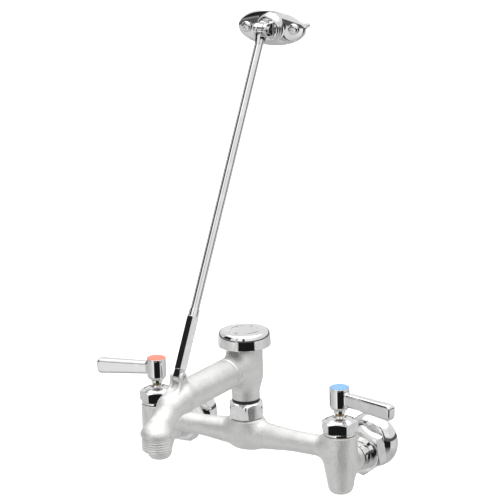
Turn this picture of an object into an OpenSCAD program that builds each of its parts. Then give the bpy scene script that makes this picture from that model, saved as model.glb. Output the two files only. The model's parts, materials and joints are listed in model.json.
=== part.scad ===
// Wall mounted service sink faucet on 8 inch centres, with vacuum breaker spout,
// hose thread outlet, lever handles and an adjustable top brace.
// Millimetres. Z up, the wall is the plane Y = 0 and the faucet stands out along -Y.
// The origin lies on the wall, midway between the two supply pipe axes. +X is the cold side.

/* [Overall] */
// distance between the two supply axes
centres = 203.2; // [180:0.1:230]
// wall to the axis of the valves and of the spout column
valve_reach = 66; // [60:0.5:90]
// spout column to the axis of the outlet
spout_reach = 152.4; // [120:0.1:200]
// height of the wall bracket above the supply axes
bracket_height = 391; // [300:1:480]
// height of the spout centre line
spout_height = 79; // [72:0.5:100]
// how far the valve inlets hang below the supply pipes
inlet_drop = 5; // [2:0.5:6]

/* [Body casting] */
// height of the bridge centre line
bridge_height = 11; // [10:0.5:12]
// radius of the bridge arms where they meet the valves
arm_r = 10; // [9:0.1:11]
// radius of the bridge in the middle
arm_mid_r = 13.4; // [12.5:0.1:14]
// water way radius in the bridge
bridge_bore_r = 6.8; // [5:0.1:6.9]
// outer radius of a valve housing
housing_r = 16.2; // [15.8:0.1:18]
// height of the top rim of a valve housing
housing_top = 26; // [25:0.5:28]
// depth of the closed bottom of a valve housing
housing_bottom = 32; // [28:0.5:40]
// outer radius of the valve inlet boss
boss_r = 13.5; // [13:0.1:14]

/* [Valve] */
// radius of the bore that takes the valve unit
valve_bore_r = 13.2; // [12.6:0.1:13.3]
// height of the seat ledge
seat_height = 4; // [3.5:0.1:5]
// across flats of the bonnet
bonnet_af = 30; // [29:0.5:34]
// stem radius
stem_r = 4; // [3.4:0.1:4.4]
// across flats of the square drive on the stem
drive_af = 5.4; // [4.6:0.1:5.6]
// radius of the ceramic discs
disc_r = 9.1; // [8.4:0.1:9.4]

/* [Handle] */
// radius of the handle hub
hub_r = 9.4; // [8.6:0.1:11]
// height of the top of the handle hub
hub_top = 71.4; // [70:0.2:76]
// length of a lever from the stem axis to its tip
lever_reach = 63; // [45:0.5:80]
// thickness of the lever at the tip
lever_t = 10; // [7:0.5:12]
// height of the lever at the tip
lever_h = 15; // [10:0.5:16]
// how far a lever drops towards its tip, degrees
lever_droop = 2.2; // [0:0.1:5]
// how far the levers stand forward of straight outward, degrees
lever_ahead = 11; // [0:1:20]

/* [Wall connection] */
// radius of the wall flange
flange_r = 26.5; // [24:0.5:32]
// depth of the wall flange
flange_depth = 14; // [13:0.5:16]
// radius of the tapped supply inlet
inlet_r = 9.7; // [9:0.05:10.2]
// depth of the tapped supply inlet
inlet_depth = 12.5; // [11:0.5:13]
// across flats of the coupling nut
coupling_af = 40; // [34:0.5:42]

/* [Column] */
// across flats of the swivel nut
swivel_af = 31; // [30:0.5:34]
// radius of the spigot that turns in the body
spigot_r = 9.7; // [9:0.1:10]
// outer radius of the vacuum breaker body
breaker_r = 17; // [16.5:0.1:18]
// rim radius of the vacuum breaker cap
cap_r = 25; // [23:0.5:30]
// lift of the vacuum breaker float
float_lift = 4.5; // [3:0.1:5]

/* [Spout] */
// outer radius of the spout
spout_r = 14.4; // [13.9:0.1:15]
// water way radius in the spout
spout_bore_r = 10.4; // [8:0.1:10.6]
// radius of the spout bend, over the outlet
bend_r = 21; // [20:0.5:24]
// radius over the hose thread
hose_r = 13.49; // [13.4:0.01:13.6]
// length of the hose thread
hose_len = 15; // [12:0.5:18]

/* [Brace] */
// spout column to the brace pin
brace_out = 114; // [104:0.5:125]
// radius of the brace rod
rod_r = 4; // [3:0.1:4.2]
// across flats of the brace sleeve
sleeve_af = 10.2; // [10:0.1:13]
// length of the hexagon of the brace sleeve
sleeve_len = 50; // [40:1:70]
// length of the taper on top of the brace sleeve
sleeve_taper = 7; // [3:0.5:10]
// radius of the brace pins
pin_r = 2.1; // [1.6:0.1:2.4]

/* [Wall bracket] */
// width of the bracket plate
plate_w = 73; // [66:0.5:90]
// height of the bracket plate
plate_h = 34; // [31:0.5:40]
// distance between the two bracket screws
screw_span = 50.8; // [46:0.1:58]
// radius of the round boss on the plate
plate_boss_r = 12.5; // [11.5:0.1:13]

/* [Hidden] */
$fn = 96;
run = 0.05;                         // clearance of turning and sliding fits
snug = 0.02;                        // clearance of fits that stay put
cut = 1;                            // how far a cutting body runs past a face
gap = 0.3;                          // air between pieces that only lie close

half = centres / 2;

// valve, heights on its own axis
seal_h = 2.5;
disc_h = 3;
sleeve_top = seat_height + 14;      // top of the valve sleeve, under the bonnet skirt
fixed_z = seat_height + seal_h;
moving_z = fixed_z + disc_h;
moving_h = 2.5;
sleeve_r = 10.8;
lower_r = 9;                        // chamber under the seat
lower_floor = -housing_bottom + 5;
valve_port_r = 7.3;                 // water way from the inlet into the lower chamber
washer_h = 1;
bonnet_lip_h = 2;                   // round lip under the bonnet hexagon
hex_z = housing_top + washer_h + bonnet_lip_h;
hex_h = 10.5;
crown_h = 3;
crown_r = 6.2;
collar_h = 2;
shoulder_z = sleeve_top + 0.4;      // stem shoulder, held under the bonnet
shoulder_h = 2.4;
shoulder_r = 6.4;
bar_w = 4.6;                        // drive bar under the stem
bar_l = 14;
ring_t = 0.7;                       // section radius of the stem seal ring
groove_r = stem_r - 1.38;
ring_z = hex_z + 3;
crown_top = hex_z + hex_h + crown_h;
stem_collar_top = crown_top + collar_h;
neck_z = stem_collar_top + 2.4;     // underside of the handle neck
hub_z = neck_z + 3.2;
square_z = hub_z + 3;
stem_top = square_z + 7.5;
head_z = stem_top + 2.6;
button_h = 1.8;
button_r = hub_r - 0.6;
screw_r = 2;
screw_head_r = 4;

// wall connection, distances from the wall
boss_end = valve_reach - 23.5;
nut_front = boss_end - 0.8;
nose_back = nut_front - 10.2;
nut_hex_front = nose_back - 4;
nut_back = flange_depth + 0.4;
nose_r = 14.3;
nut_thread_r = 13;
tail_r = 10.4;
tail_bore_r = 7.4;
tail_flange_r = 12.6;
tail_flange_h = 3;
tail_flange_z = nose_back - 3.4;    // wall side of the tailpiece flange
strainer_h = 0.8;
strainer_z = tail_flange_z - strainer_h;
washer_t = 2.5;
coupling_washer_z = strainer_z - washer_t;
hub_shell_r = 13.4;                 // round end of the adapter inside the wall flange
shell_t = 1.6;

// column, heights on its axis
socket_floor = 19;
neck_top = 34;                      // top of the threaded neck on the body
neck_r = 13.4;
swivel_corner = swivel_af / sqrt(3) + 0.2;
neck_base = 26.4;
nut_z = neck_base + 1.6;
nut_top = 43.6;
ring_h = 2.4;
ring_r = 13.2;
retainer_z = neck_top + gap;
retainer_h = 3;
retainer_r = 12.2;
lip_z = retainer_z + retainer_h + gap;
column_r = 13.3;
column_z = nut_top + ring_h;
flow_r = 6.4;
seat_z = spout_height - 21;         // underside of the breaker seat
seat_h = 6.6;
seat_r = 8.6;
seat_lip_r = 6.6;
chamber_z = seat_z + seat_h - 1.6;
chamber_r = 13.4;
breaker_top = spout_height + 18;
float_z = seat_z + seat_h + snug;
pad_h = 1.5;
float_disc_h = 2.5;
upper_disc_z = float_z + 14;
air_seat_z = upper_disc_z + float_disc_h + pad_h + float_lift + 0.1;
guide_r = 2.4;
bonnet_flange_h = 2.5;
post_top = breaker_top + 11;
cap_rim_z = breaker_top + 1.8;
cap_h = 14.4;
cap_top_r = 21;
cap_t = 1.8;

// spout, distances from the column
side_end = 35;
socket_len = 8;
socket_r = 12.2;
outlet_z = spout_height - bend_r;     // shoulder over the hose thread
taper_start = spout_reach - 34;
knee = [spout_reach - 20, 2.6, 2.6];  // distance, drop and how much thinner
throat = [spout_reach - 10.3, bend_r - 10.7, 5.9];
throat_bore = 6;
outlet_end = outlet_z - hose_len;
outlet_bore_r = 9.6;

// brace
ear_t = 3;
ear_gap = 6.4;
ear_r = 5;
pin_z = spout_height + spout_r + 6.2;
pin_y = -valve_reach - brace_out;
eye_out = 19;                       // wall to the bracket pin
brace_dy = -eye_out - pin_y;
brace_dz = bracket_height - pin_z;
brace_len = sqrt(brace_dy * brace_dy + brace_dz * brace_dz);
brace_lean = atan2(brace_dy, brace_dz);
tongue_t = ear_gap - 0.6;
tongue_len = 6.5;
rod_in = 24;                        // start of the rod inside the sleeve
eye_r = 6;
eye_t = 5;

// wall bracket, distances from the wall
plate_t = 3;
plate_rise = 2.4;
plate_boss_z = 11;
lug_t = 4;
lug_gap = eye_t + 0.6;
lug_r = 6.4;
screw_shank_r = 2.2;
screw_in = 22;
bracket_head_r = 5.3;
bracket_head_h = 2.6;

// placing
module at_valve(side) translate([side * half, -valve_reach, 0]) children();
module at_pipe(side) translate([side * half, 0, 0]) rotate([90, 0, 0]) children();
module at_union(side) translate([side * half, 0, -inlet_drop]) rotate([90, 0, 0]) children();
module at_column() translate([0, -valve_reach, 0]) children();
module along_spout() translate([0, -valve_reach, spout_height]) rotate([90, 0, 0]) children();
module on_wall() translate([0, 0, bracket_height]) rotate([90, 0, 0]) children();
module along_brace() translate([0, pin_y, pin_z]) rotate([-brace_lean, 0, 0]) children();

// shared shapes
module rod(r, z0, z1) translate([0, 0, z0]) cylinder(r = r, h = z1 - z0);
module pipe(r_out, r_in, z0, z1) difference() {
  rod(r_out, z0, z1);
  rod(r_in, z0 - cut, z1 + cut);
}
module cone(r0, r1, z0, z1) translate([0, 0, z0]) cylinder(r1 = r0, r2 = r1, h = z1 - z0);
module hex(af, z0, z1, turn = 0) rotate([0, 0, turn]) translate([0, 0, z0])
  cylinder(r = af / sqrt(3), h = z1 - z0, $fn = 6);
module ring(r, t, z) translate([0, 0, z]) rotate_extrude() translate([r, 0]) circle(t, $fn = 32);
// a cone clipped hexagon, as a spanner nut is turned
module turned_hex(af, z0, z1, turn, low, high) intersection() {
  hex(af, z0, z1, turn);
  rotate_extrude() polygon([[0, z0], [af / 2 - 0.2, z0], [af / sqrt(3) + 0.2, z0 + low],
    [af / sqrt(3) + 0.2, z1 - high], [af / 2 - 0.6, z1], [0, z1]]);
}
function blend(t) = (1 - cos(180 * t)) / 2;

// body casting
module arm() rotate([0, 90, 0]) rotate_extrude() polygon(concat([[0, 0]],
  [for (i = [0 : 10]) [arm_mid_r + (arm_r - arm_mid_r) * blend(i / 10), 12 + i * (half * 0.5 - 12) / 10]],
  [[arm_r, half], [0, half]], [[0, 0]]));
module housing() rotate_extrude() polygon(concat(
  [[0, housing_top], [housing_r - 0.6, housing_top], [housing_r, housing_top - 0.8],
   [housing_r, 1], [housing_r - 1.3, -9], [housing_r - 3.3, 5 - housing_bottom * 0.8]],
  [for (i = [0 : 6]) let (a = 15 * i) [housing_r - 9 + 4 * cos(a), 4 - housing_bottom - 4 * sin(a)]],
  [[0, -housing_bottom]]));
module column_boss() rotate_extrude() polygon(concat([[0, 2], [12, 2]],
  [for (i = [0 : 8]) [13 + 3.2 * blend(i / 8), 10 + i * 1.5]],
  [[16.2, neck_base - 0.8], [15.4, neck_base], [neck_r, neck_base], [neck_r, neck_top - 0.8],
   [neck_r - 0.8, neck_top], [0, neck_top]]));

module body_casting() color("silver") difference() {
  union() {
    for (side = [-1, 1]) {
      translate([0, -valve_reach, bridge_height]) scale([side, 1, 1]) arm();
      at_valve(side) housing();
      at_union(side) rod(boss_r, boss_end, valve_reach);
    }
    at_column() column_boss();
  }
  translate([-half, -valve_reach, bridge_height]) rotate([0, 90, 0]) rod(bridge_bore_r, 0, centres);
  for (side = [-1, 1]) {
    at_valve(side) rod(valve_bore_r, seat_height, housing_top + cut);
    at_valve(side) rod(lower_r, lower_floor, seat_height + cut);
    at_union(side) rod(valve_port_r, boss_end - cut, valve_reach);
    at_union(side) rod(tail_r + snug, boss_end - cut, boss_end + 10);
  }
  at_column() rod(bridge_bore_r, bridge_height, socket_floor + cut);
  at_column() rod(spigot_r + run, socket_floor, neck_top + cut);
}

// valve units
module bonnet(side, turn) color("gainsboro") at_valve(side) difference() {
  union() {
    rod(valve_bore_r - snug, sleeve_top, hex_z + cut);
    rod(housing_r - 0.4, housing_top + washer_h, hex_z);
    turned_hex(bonnet_af, hex_z, hex_z + hex_h, turn, 0.8, 1.6);
    rotate_extrude() polygon([[0, hex_z + hex_h - cut], [bonnet_af / 2 - 1.2, hex_z + hex_h - cut],
      [bonnet_af / 2 - 1.2, hex_z + hex_h], [bonnet_af / 2 - 4.4, hex_z + hex_h + crown_h * 0.62],
      [crown_r, crown_top], [crown_r - 0.6, stem_collar_top], [0, stem_collar_top]]);
  }
  rod(shoulder_r + run, sleeve_top - cut, shoulder_z + shoulder_h + run);
  rod(stem_r + run, sleeve_top, stem_collar_top + cut);
}
module bonnet_washer(side) color("dimgray") at_valve(side)
  pipe(housing_r - 0.7, valve_bore_r + snug, housing_top, housing_top + washer_h);
module valve_sleeve(side) color("khaki") at_valve(side) difference() {
  pipe(sleeve_r, disc_r + run, fixed_z, sleeve_top);
  for (a = [0, 90]) rotate([0, 0, 45 + a])
    translate([-sleeve_r - cut, -4, moving_z + moving_h + 0.4]) cube([2 * sleeve_r + 2 * cut, 8, 4.2]);
}
module disc_ports(z0, z1) for (a = [0, 180]) rotate([0, 0, a]) translate([0, 0, z0])
  rotate_extrude(angle = 80, start = 5) translate([2.6, 0]) square([disc_r - 5.1, z1 - z0]);
module fixed_disc(side) color("white") at_valve(side) difference() {
  rod(disc_r, fixed_z, moving_z);
  disc_ports(fixed_z - cut, moving_z + cut);
}
module moving_disc(side) color("ivory") at_valve(side) rotate([0, 0, 90]) difference() {
  rod(disc_r - snug, moving_z + snug, moving_z + moving_h);
  disc_ports(moving_z - cut, moving_z + moving_h + cut);
  rotate([0, 0, 135]) translate([-bar_l / 2 - run, -bar_w / 2 - run, moving_z + moving_h - 1])
    cube([bar_l + 2 * run, bar_w + 2 * run, 1 + cut]);
}
module seat_seal(side) color("black") at_valve(side) pipe(sleeve_r, 6.6, seat_height, fixed_z);
module stem(side) color("goldenrod") at_valve(side) difference() {
  union() {
    rotate([0, 0, 225]) translate([-bar_l / 2, -bar_w / 2, moving_z + moving_h - 1 + run])
      cube([bar_l, bar_w, 4]);
    rod(stem_r, moving_z + moving_h + 2, square_z);
    rod(shoulder_r, shoulder_z, shoulder_z + shoulder_h);
    translate([-drive_af / 2, -drive_af / 2, square_z - cut]) cube([drive_af, drive_af, stem_top - square_z + cut]);
  }
  pipe(stem_r + cut, groove_r, ring_z - ring_t - 0.1, ring_z + ring_t + 0.1);
  rod(screw_r + snug, square_z - 6, stem_top + cut);
}
module stem_ring(side) color("black") at_valve(side) ring(groove_r + ring_t + 0.02, ring_t, ring_z);

// handles
module lever_blade() difference() {
  rotate([0, lever_droop, 0]) intersection() {
    translate([0, 0, -lever_h]) linear_extrude(2 * lever_h) union() {
      polygon([[0, -3.8], [lever_reach - lever_t / 2, -lever_t / 2],
        [lever_reach - lever_t / 2, lever_t / 2], [0, 3.8]]);
      translate([lever_reach - lever_t / 2, 0]) circle(lever_t / 2);
    }
    rotate([90, 0, 0]) translate([0, 0, -lever_t]) linear_extrude(2 * lever_t) union() {
      polygon([[0, -6.2], [lever_reach - 4, -lever_h / 2], [lever_reach, 4 - lever_h / 2],
        [lever_reach, lever_h / 2 - 4], [lever_reach - 4, lever_h / 2], [0, 6.2]]);
      for (s = [-1, 1]) translate([lever_reach - 4, s * (lever_h / 2 - 4)]) circle(4);
    }
  }
  rod(hub_r - 1, -2 * lever_h, 2 * lever_h);
}
module lever(side) color("gainsboro") at_valve(side) {
  difference() {
    rotate_extrude() polygon([[0, neck_z], [5.6, neck_z], [5.6, hub_z - 0.4], [7.4, hub_z + 0.5],
      [hub_r - 0.5, hub_z + 1.8], [hub_r - 0.1, hub_z + 3.2], [hub_r, hub_top - 0.3],
      [hub_r - 0.2, hub_top], [0, hub_top]]);
    rod(stem_r + snug, neck_z - cut, square_z + 0.3);
    translate([-drive_af / 2 - snug, -drive_af / 2 - snug, square_z]) 
      cube([drive_af + 2 * snug, drive_af + 2 * snug, stem_top - square_z + 0.3]);
    rod(screw_r + 0.2, square_z, hub_top);
    rod(screw_head_r + 0.3, head_z, hub_top + cut);
    rod(button_r + snug, hub_top - 1.2, hub_top + cut);
  }
  translate([0, 0, (hub_z + hub_top) / 2 + 0.6]) rotate([0, 0, side > 0 ? -lever_ahead : 180 + lever_ahead])
    lever_blade();
}
module index_button(side, tint) color(tint) at_valve(side) union() {
  rod(button_r, hub_top - 1.2, hub_top + button_h - 1.6);
  cone(button_r, button_r - 0.4, hub_top + button_h - 1.6, hub_top + button_h - 1.2);
}
module handle_screw(side) color("silver") at_valve(side) difference() {
  union() {
    rod(screw_head_r, head_z, head_z + 2.4);
    rod(screw_r, square_z - 5, head_z + cut);
  }
  for (a = [0, 90]) rotate([0, 0, a]) translate([-2.4, -0.5, head_z + 1]) cube([4.8, 1, 2]);
}

// wall connection
module tailpiece(side) color("goldenrod") at_union(side) difference() {
  union() {
    rod(tail_r, tail_flange_z + cut, boss_end + 9.8);
    rod(tail_flange_r, tail_flange_z, tail_flange_z + tail_flange_h);
  }
  rod(tail_bore_r, tail_flange_z - cut, boss_end + 9.8 + cut);
}
module coupling_nut(side, turn) color("gainsboro") at_union(side) difference() {
  union() {
    rotate_extrude() polygon([[0, nut_hex_front], [18.6, nut_hex_front], [nose_r - 0.9, nose_back],
      [nose_r, nose_back + 0.5], [nose_r, nut_front - 0.8], [nose_r - 0.8, nut_front], [0, nut_front]]);
    turned_hex(coupling_af, nut_back, nut_hex_front + 1.6, turn, 0.8, 1.8);
  }
  rod(nut_thread_r, nut_back - cut, nose_back);
  rod(tail_r + snug, nut_back, nut_front + cut);
}
module strainer(side) color("silver") at_union(side) difference() {
  rod(tail_flange_r - 0.2, strainer_z, tail_flange_z);
  for (q = [0 : 5], k = [1 : 3]) rotate([0, 0, 60 * q + 15 * k]) translate([2.1 * k, 0, strainer_z - cut])
    cylinder(r = 0.75, h = strainer_h + 2 * cut, $fn = 16);
}
module coupling_washer(side) color("black") at_union(side)
  pipe(tail_flange_r - 0.2, tail_bore_r + 0.6, coupling_washer_z, strainer_z);
module inlet_adapter(side) color("goldenrod") difference() {
  union() {
    at_pipe(side) rod(hub_shell_r, 0, flange_depth);
    at_union(side) rod(nut_thread_r - snug, flange_depth, coupling_washer_z);
  }
  at_pipe(side) rod(inlet_r, -cut, inlet_depth);
  at_union(side) rod(tail_bore_r - 0.4, inlet_depth - 2, coupling_washer_z + cut);
}
module wall_flange(side) color("gainsboro") at_pipe(side) difference() {
  rotate_extrude() polygon(concat([[0, 0], [flange_r, 0], [flange_r, 1.2]],
    [for (i = [1 : 9]) let (a = 10 * i)
      [hub_shell_r + 2.4 + (flange_r - hub_shell_r - 2.4) * cos(a), 1.2 + (flange_depth - 1.2) * sin(a)]],
    [[0, flange_depth]]));
  rotate_extrude() polygon(concat([[0, -cut], [flange_r - shell_t, -cut], [flange_r - shell_t, 1]],
    [for (i = [1 : 9]) let (a = 10 * i)
      [hub_shell_r + 0.8 + (flange_r - shell_t - hub_shell_r - 0.8) * cos(a),
       1 + (flange_depth - 1 - shell_t) * sin(a)]],
    [[0, flange_depth - shell_t]]));
  rod(hub_shell_r + snug, 0, flange_depth + cut);
}

// swivel column and vacuum breaker
module swivel_nut() color("gainsboro") at_column() difference() {
  intersection() {
    hex(swivel_af, nut_z, nut_top);
    rotate_extrude() polygon(concat([[0, nut_z], [swivel_af / 2 - 0.2, nut_z], [swivel_corner, nut_z + 0.8]],
      [for (i = [0 : 8]) let (a = 11 * i)
        [ring_r - 0.6 + (swivel_corner - ring_r + 0.6) * cos(a), nut_z + 6 + (nut_top - nut_z - 6) * sin(a)]],
      [[ring_r - 0.6, nut_top], [0, nut_top]]));
  }
  rod(neck_r + snug, nut_z - cut, neck_top + gap);
  rod(retainer_r + gap, nut_z, lip_z);
  rod(spigot_r + 0.4, nut_z, nut_top + cut);
}
module spigot() difference() {
  rod(spigot_r, socket_floor + gap, column_z + cut);
  for (z = [22.2, 27.6]) pipe(spigot_r + cut, spigot_r - 1.5, z - 0.9, z + 0.9);
  pipe(spigot_r + cut, spigot_r - 1, retainer_z - run, retainer_z + retainer_h + run);
}
module spigot_rings() color("black") at_column()
  for (z = [22.2, 27.6]) ring(spigot_r - 0.74, 0.74, z);
module spigot_retainer() color("goldenrod") at_column() difference() {
  pipe(retainer_r, spigot_r - 1 + snug, retainer_z, retainer_z + retainer_h);
  translate([0, -1, retainer_z - cut]) cube([retainer_r + cut, 2, retainer_h + 2 * cut]);
}
module swivel_ring() color("black") at_column()
  pipe(ring_r, spigot_r + snug, nut_top + snug, column_z);
module breaker_body() color("silver") difference() {
  union() {
    at_column() {
      spigot();
      rotate_extrude() polygon(concat([[0, column_z], [column_r, column_z]],
        [for (i = [0 : 8]) [column_r + (breaker_r - column_r) * blend(i / 8),
          spout_height - 26 + 2 * i]],
        [[breaker_r, breaker_top - 0.8], [breaker_r - 0.8, breaker_top], [0, breaker_top]]));
    }
    along_spout() rod(spout_r, 0, side_end);
    along_spout() rod(socket_r, 0, side_end + socket_len);
  }
  at_column() {
    rod(flow_r, socket_floor, seat_z + cut);
    rod(seat_r + snug, seat_z, chamber_z + cut);
    rod(chamber_r, chamber_z, breaker_top + cut);
  }
  along_spout() rod(spout_bore_r - 0.8, 0, side_end + socket_len + cut);
}
module breaker_seat() color("goldenrod") at_column() difference() {
  union() {
    rod(seat_r, seat_z, chamber_z);
    cone(seat_lip_r + 0.8, seat_lip_r, chamber_z - cut, seat_z + seat_h);
  }
  rod(flow_r - 1, seat_z - cut, seat_z + seat_h + cut);
}
module breaker_float() color("white") at_column() {
  rod(8, float_z + pad_h, float_z + pad_h + float_disc_h);
  rod(guide_r, float_z + pad_h, breaker_top + 1);
  rod(7.6, upper_disc_z, upper_disc_z + float_disc_h);
}
module float_pads() color("black") at_column() {
  rod(7.8, float_z, float_z + pad_h);
  pipe(7.6, guide_r + snug, upper_disc_z + float_disc_h, upper_disc_z + float_disc_h + pad_h);
}
module breaker_bonnet() color("goldenrod") at_column() difference() {
  union() {
    rod(chamber_r - snug, air_seat_z + 2, breaker_top);
    pipe(7, 5.4, air_seat_z, air_seat_z + 2 + cut);
    rod(chamber_r + 2.2, breaker_top, breaker_top + bonnet_flange_h);
    rod(5.4, breaker_top, post_top);
  }
  rod(5.4, air_seat_z - cut, air_seat_z + 4);
  for (k = [0 : 5]) rotate([0, 0, 60 * k]) translate([8.4, 0, 0]) rod(1.9, air_seat_z + 3, breaker_top + cut * 4);
  for (k = [0 : 5]) rotate([0, 0, 60 * k]) translate([3.6, -1, air_seat_z + 3]) cube([5, 2, 3]);
  rod(guide_r + run, air_seat_z, breaker_top + 7.6);
}
module breaker_cap() color("gainsboro") at_column() difference() {
  union() {
    rotate_extrude() polygon(concat([[0, cap_rim_z], [cap_r - 0.5, cap_rim_z], [cap_r, cap_rim_z + 0.6],
        [cap_r - 0.4, cap_rim_z + cap_h - 6]],
      [for (i = [1 : 6]) let (a = 15 * i)
        [cap_top_r + (cap_r - 0.4 - cap_top_r) * cos(a), cap_rim_z + cap_h - 6 + 6 * sin(a)]],
      [[0, cap_rim_z + cap_h]]));
    for (k = [0 : 1]) rotate([0, 0, 180 * k - 60]) translate([0, 0, cap_rim_z + cap_h - cut])
      rotate_extrude(angle = 120) translate([13.2, 0]) square([1.2, cut + 0.4]);
    for (k = [0 : 1]) rotate([0, 0, 180 * k + 90]) translate([13.8, 0, 0])
      rod(1.1, cap_rim_z + cap_h - cut, cap_rim_z + cap_h + 0.4);
  }
  difference() {
    rotate_extrude() polygon([[0, cap_rim_z - cut], [cap_r - cap_t, cap_rim_z - cut],
      [cap_r - cap_t - 0.4, cap_rim_z + cap_h - 6], [cap_top_r - 2, cap_rim_z + cap_h - cap_t],
      [0, cap_rim_z + cap_h - cap_t]]);
    rod(8, breaker_top + bonnet_flange_h, cap_rim_z + cap_h);
  }
  rod(5.4 + snug, cap_rim_z - cut, post_top + 0.2);
}

// spout
module ear_plate(r, reach, t) rotate([0, 90, 0]) translate([0, 0, -t / 2]) union() {
  cylinder(r = r, h = t);
  translate([0, -r, 0]) cube([reach, 2 * r, t]);
}
// a leg of the spout from one centre to the next, in the plane of the spout, with a ball at its end
module leg(a, b, r0, r1) let (run_y = b[0] - a[0], fall = b[1] - a[1]) {
  translate([0, -valve_reach - a[0], spout_height - a[1]]) rotate([90 + atan2(fall, run_y), 0, 0])
    cylinder(r1 = r0, r2 = r1, h = sqrt(run_y * run_y + fall * fall));
  translate([0, -valve_reach - b[0], spout_height - b[1]]) sphere(r1 + 0.1, $fn = 48);
}
module spout_tube() color("silver") difference() {
  union() {
    along_spout() rod(spout_r, side_end, taper_start);
    leg([taper_start - 4, 0], knee, spout_r - 0.4, spout_r - knee[2]);
    leg(knee, throat, spout_r - knee[2], spout_r - throat[2]);
    translate([0, -valve_reach - spout_reach, 0]) {
      rotate_extrude() polygon([[0, outlet_z - 1.2], [spout_r, outlet_z - 1.2], [spout_r, outlet_z],
        [spout_r - 0.3, outlet_z + 5], [spout_r - 1.1, outlet_z + 9.2], [spout_r - 2.6, outlet_z + 12],
        [spout_r - 5.2, outlet_z + 13.8], [spout_r - 8, outlet_z + 14.4], [0, outlet_z + 14.4]]);
      rod(hose_r, outlet_end, outlet_z);
    }
    for (s = [-1, 1]) translate([s * (ear_gap + ear_t) / 2, pin_y, pin_z])
      ear_plate(ear_r, pin_z - spout_height - spout_r + 2.6, ear_t);
  }
  along_spout() rod(socket_r + snug, side_end - cut, side_end + socket_len);
  along_spout() rod(spout_bore_r, side_end, taper_start - 4);
  leg([taper_start - 8, 0], knee, spout_bore_r - 0.4, spout_bore_r - 2.4);
  leg(knee, throat, spout_bore_r - 2.4, throat_bore);
  leg(throat, [spout_reach - 1, bend_r - 3], throat_bore, throat_bore);
  translate([0, -valve_reach - spout_reach, 0]) rod(outlet_bore_r, outlet_end - cut, outlet_z + 8);
  translate([0, pin_y, pin_z]) rotate([0, 90, 0]) rod(pin_r + snug, -ear_gap, ear_gap);
}
module clevis_pin() color("silver") translate([0, pin_y, pin_z]) rotate([0, 90, 0])
  rod(pin_r, -ear_gap / 2 - ear_t - 0.4, ear_gap / 2 + ear_t - 0.6);

// brace
module brace_sleeve() color("gainsboro") along_brace() difference() {
  union() {
    turned_hex(sleeve_af, tongue_len, tongue_len + sleeve_len, 0, 0.6, 1);
    cone(sleeve_af / 2 - 0.2, rod_r + 0.6, tongue_len + sleeve_len - 1.5, tongue_len + sleeve_len + sleeve_taper);
    intersection() {
      union() {
        rotate([0, 90, 0]) translate([0, 0, -tongue_t / 2]) cylinder(r = 4.6, h = tongue_t);
        translate([-tongue_t / 2, -4.6, 0]) cube([tongue_t, 9.2, tongue_len + 2]);
      }
      rod(6, -6, tongue_len + 2);
    }
  }
  rotate([0, 90, 0]) rod(pin_r + run, -tongue_t, tongue_t);
  rod(rod_r + run, rod_in - 6, tongue_len + sleeve_len + sleeve_taper + cut);
}
module brace_rod() color("gainsboro") along_brace() difference() {
  union() {
    rod(rod_r, rod_in, brace_len - 4);
    translate([0, 0, brace_len]) rotate([0, 90, 0]) translate([0, 0, -eye_t / 2]) cylinder(r = eye_r, h = eye_t);
    translate([0, 0, brace_len - 16]) intersection() {
      translate([-eye_t / 2, -eye_r, 0]) cube([eye_t, 2 * eye_r, 16]);
      cone(rod_r, eye_r + 1, 0, 12);
    }
  }
  for (s = [-1, 1]) translate([s * (eye_t / 2 + 5) - 5, -eye_r - cut, brace_len - 10])
    cube([10, 2 * eye_r + 2 * cut, 10 + eye_r + cut]);
  translate([0, 0, brace_len]) rotate([0, 90, 0]) rod(pin_r + run, -eye_t, eye_t);
}

// wall bracket
module plate_outline(inset) polygon([for (i = [0 : 59]) let (a = 6 * i)
  [(plate_w / 2 - inset) * cos(a), (plate_h / 2 - inset) * sin(a)]]);
module wall_bracket() color("gainsboro") on_wall() difference() {
  union() {
    linear_extrude(plate_t) plate_outline(0);
    linear_extrude(plate_t + plate_rise * 0.5) plate_outline(0.8);
    linear_extrude(plate_t + plate_rise) plate_outline(2.4);
    rotate_extrude() polygon([[0, 0], [plate_boss_r + 1.4, 0], [plate_boss_r + 1.4, plate_t + plate_rise],
      [plate_boss_r, plate_t + plate_rise + 1.2], [plate_boss_r - 0.6, plate_boss_z - 1.4],
      [plate_boss_r - 2, plate_boss_z], [0, plate_boss_z]]);
    for (s = [-1, 1]) translate([s * (lug_gap + lug_t) / 2, 0, eye_out]) rotate([0, -90, 0])
      rotate([0, 180, 0]) ear_lug();
  }
  for (s = [-1, 1]) translate([s * screw_span / 2, 0, 0]) rod(screw_shank_r + 0.3, -cut, plate_t + plate_rise + cut);
  translate([0, 0, eye_out]) rotate([0, 90, 0]) rod(pin_r + snug, -lug_gap - lug_t, lug_gap + lug_t);
}
module ear_lug() translate([0, 0, -lug_t / 2]) union() {
  cylinder(r = lug_r, h = lug_t);
  translate([0, -lug_r, 0]) cube([eye_out - plate_boss_z + 1, 2 * lug_r, lug_t]);
}
module bracket_pin() color("silver") on_wall() translate([0, 0, eye_out]) rotate([0, 90, 0]) {
  rod(pin_r, -lug_gap / 2 - lug_t - 0.8, lug_gap / 2 + lug_t + 1);
  rod(pin_r + 1.4, lug_gap / 2 + lug_t + 0.02, lug_gap / 2 + lug_t + 1.8);
}
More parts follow.
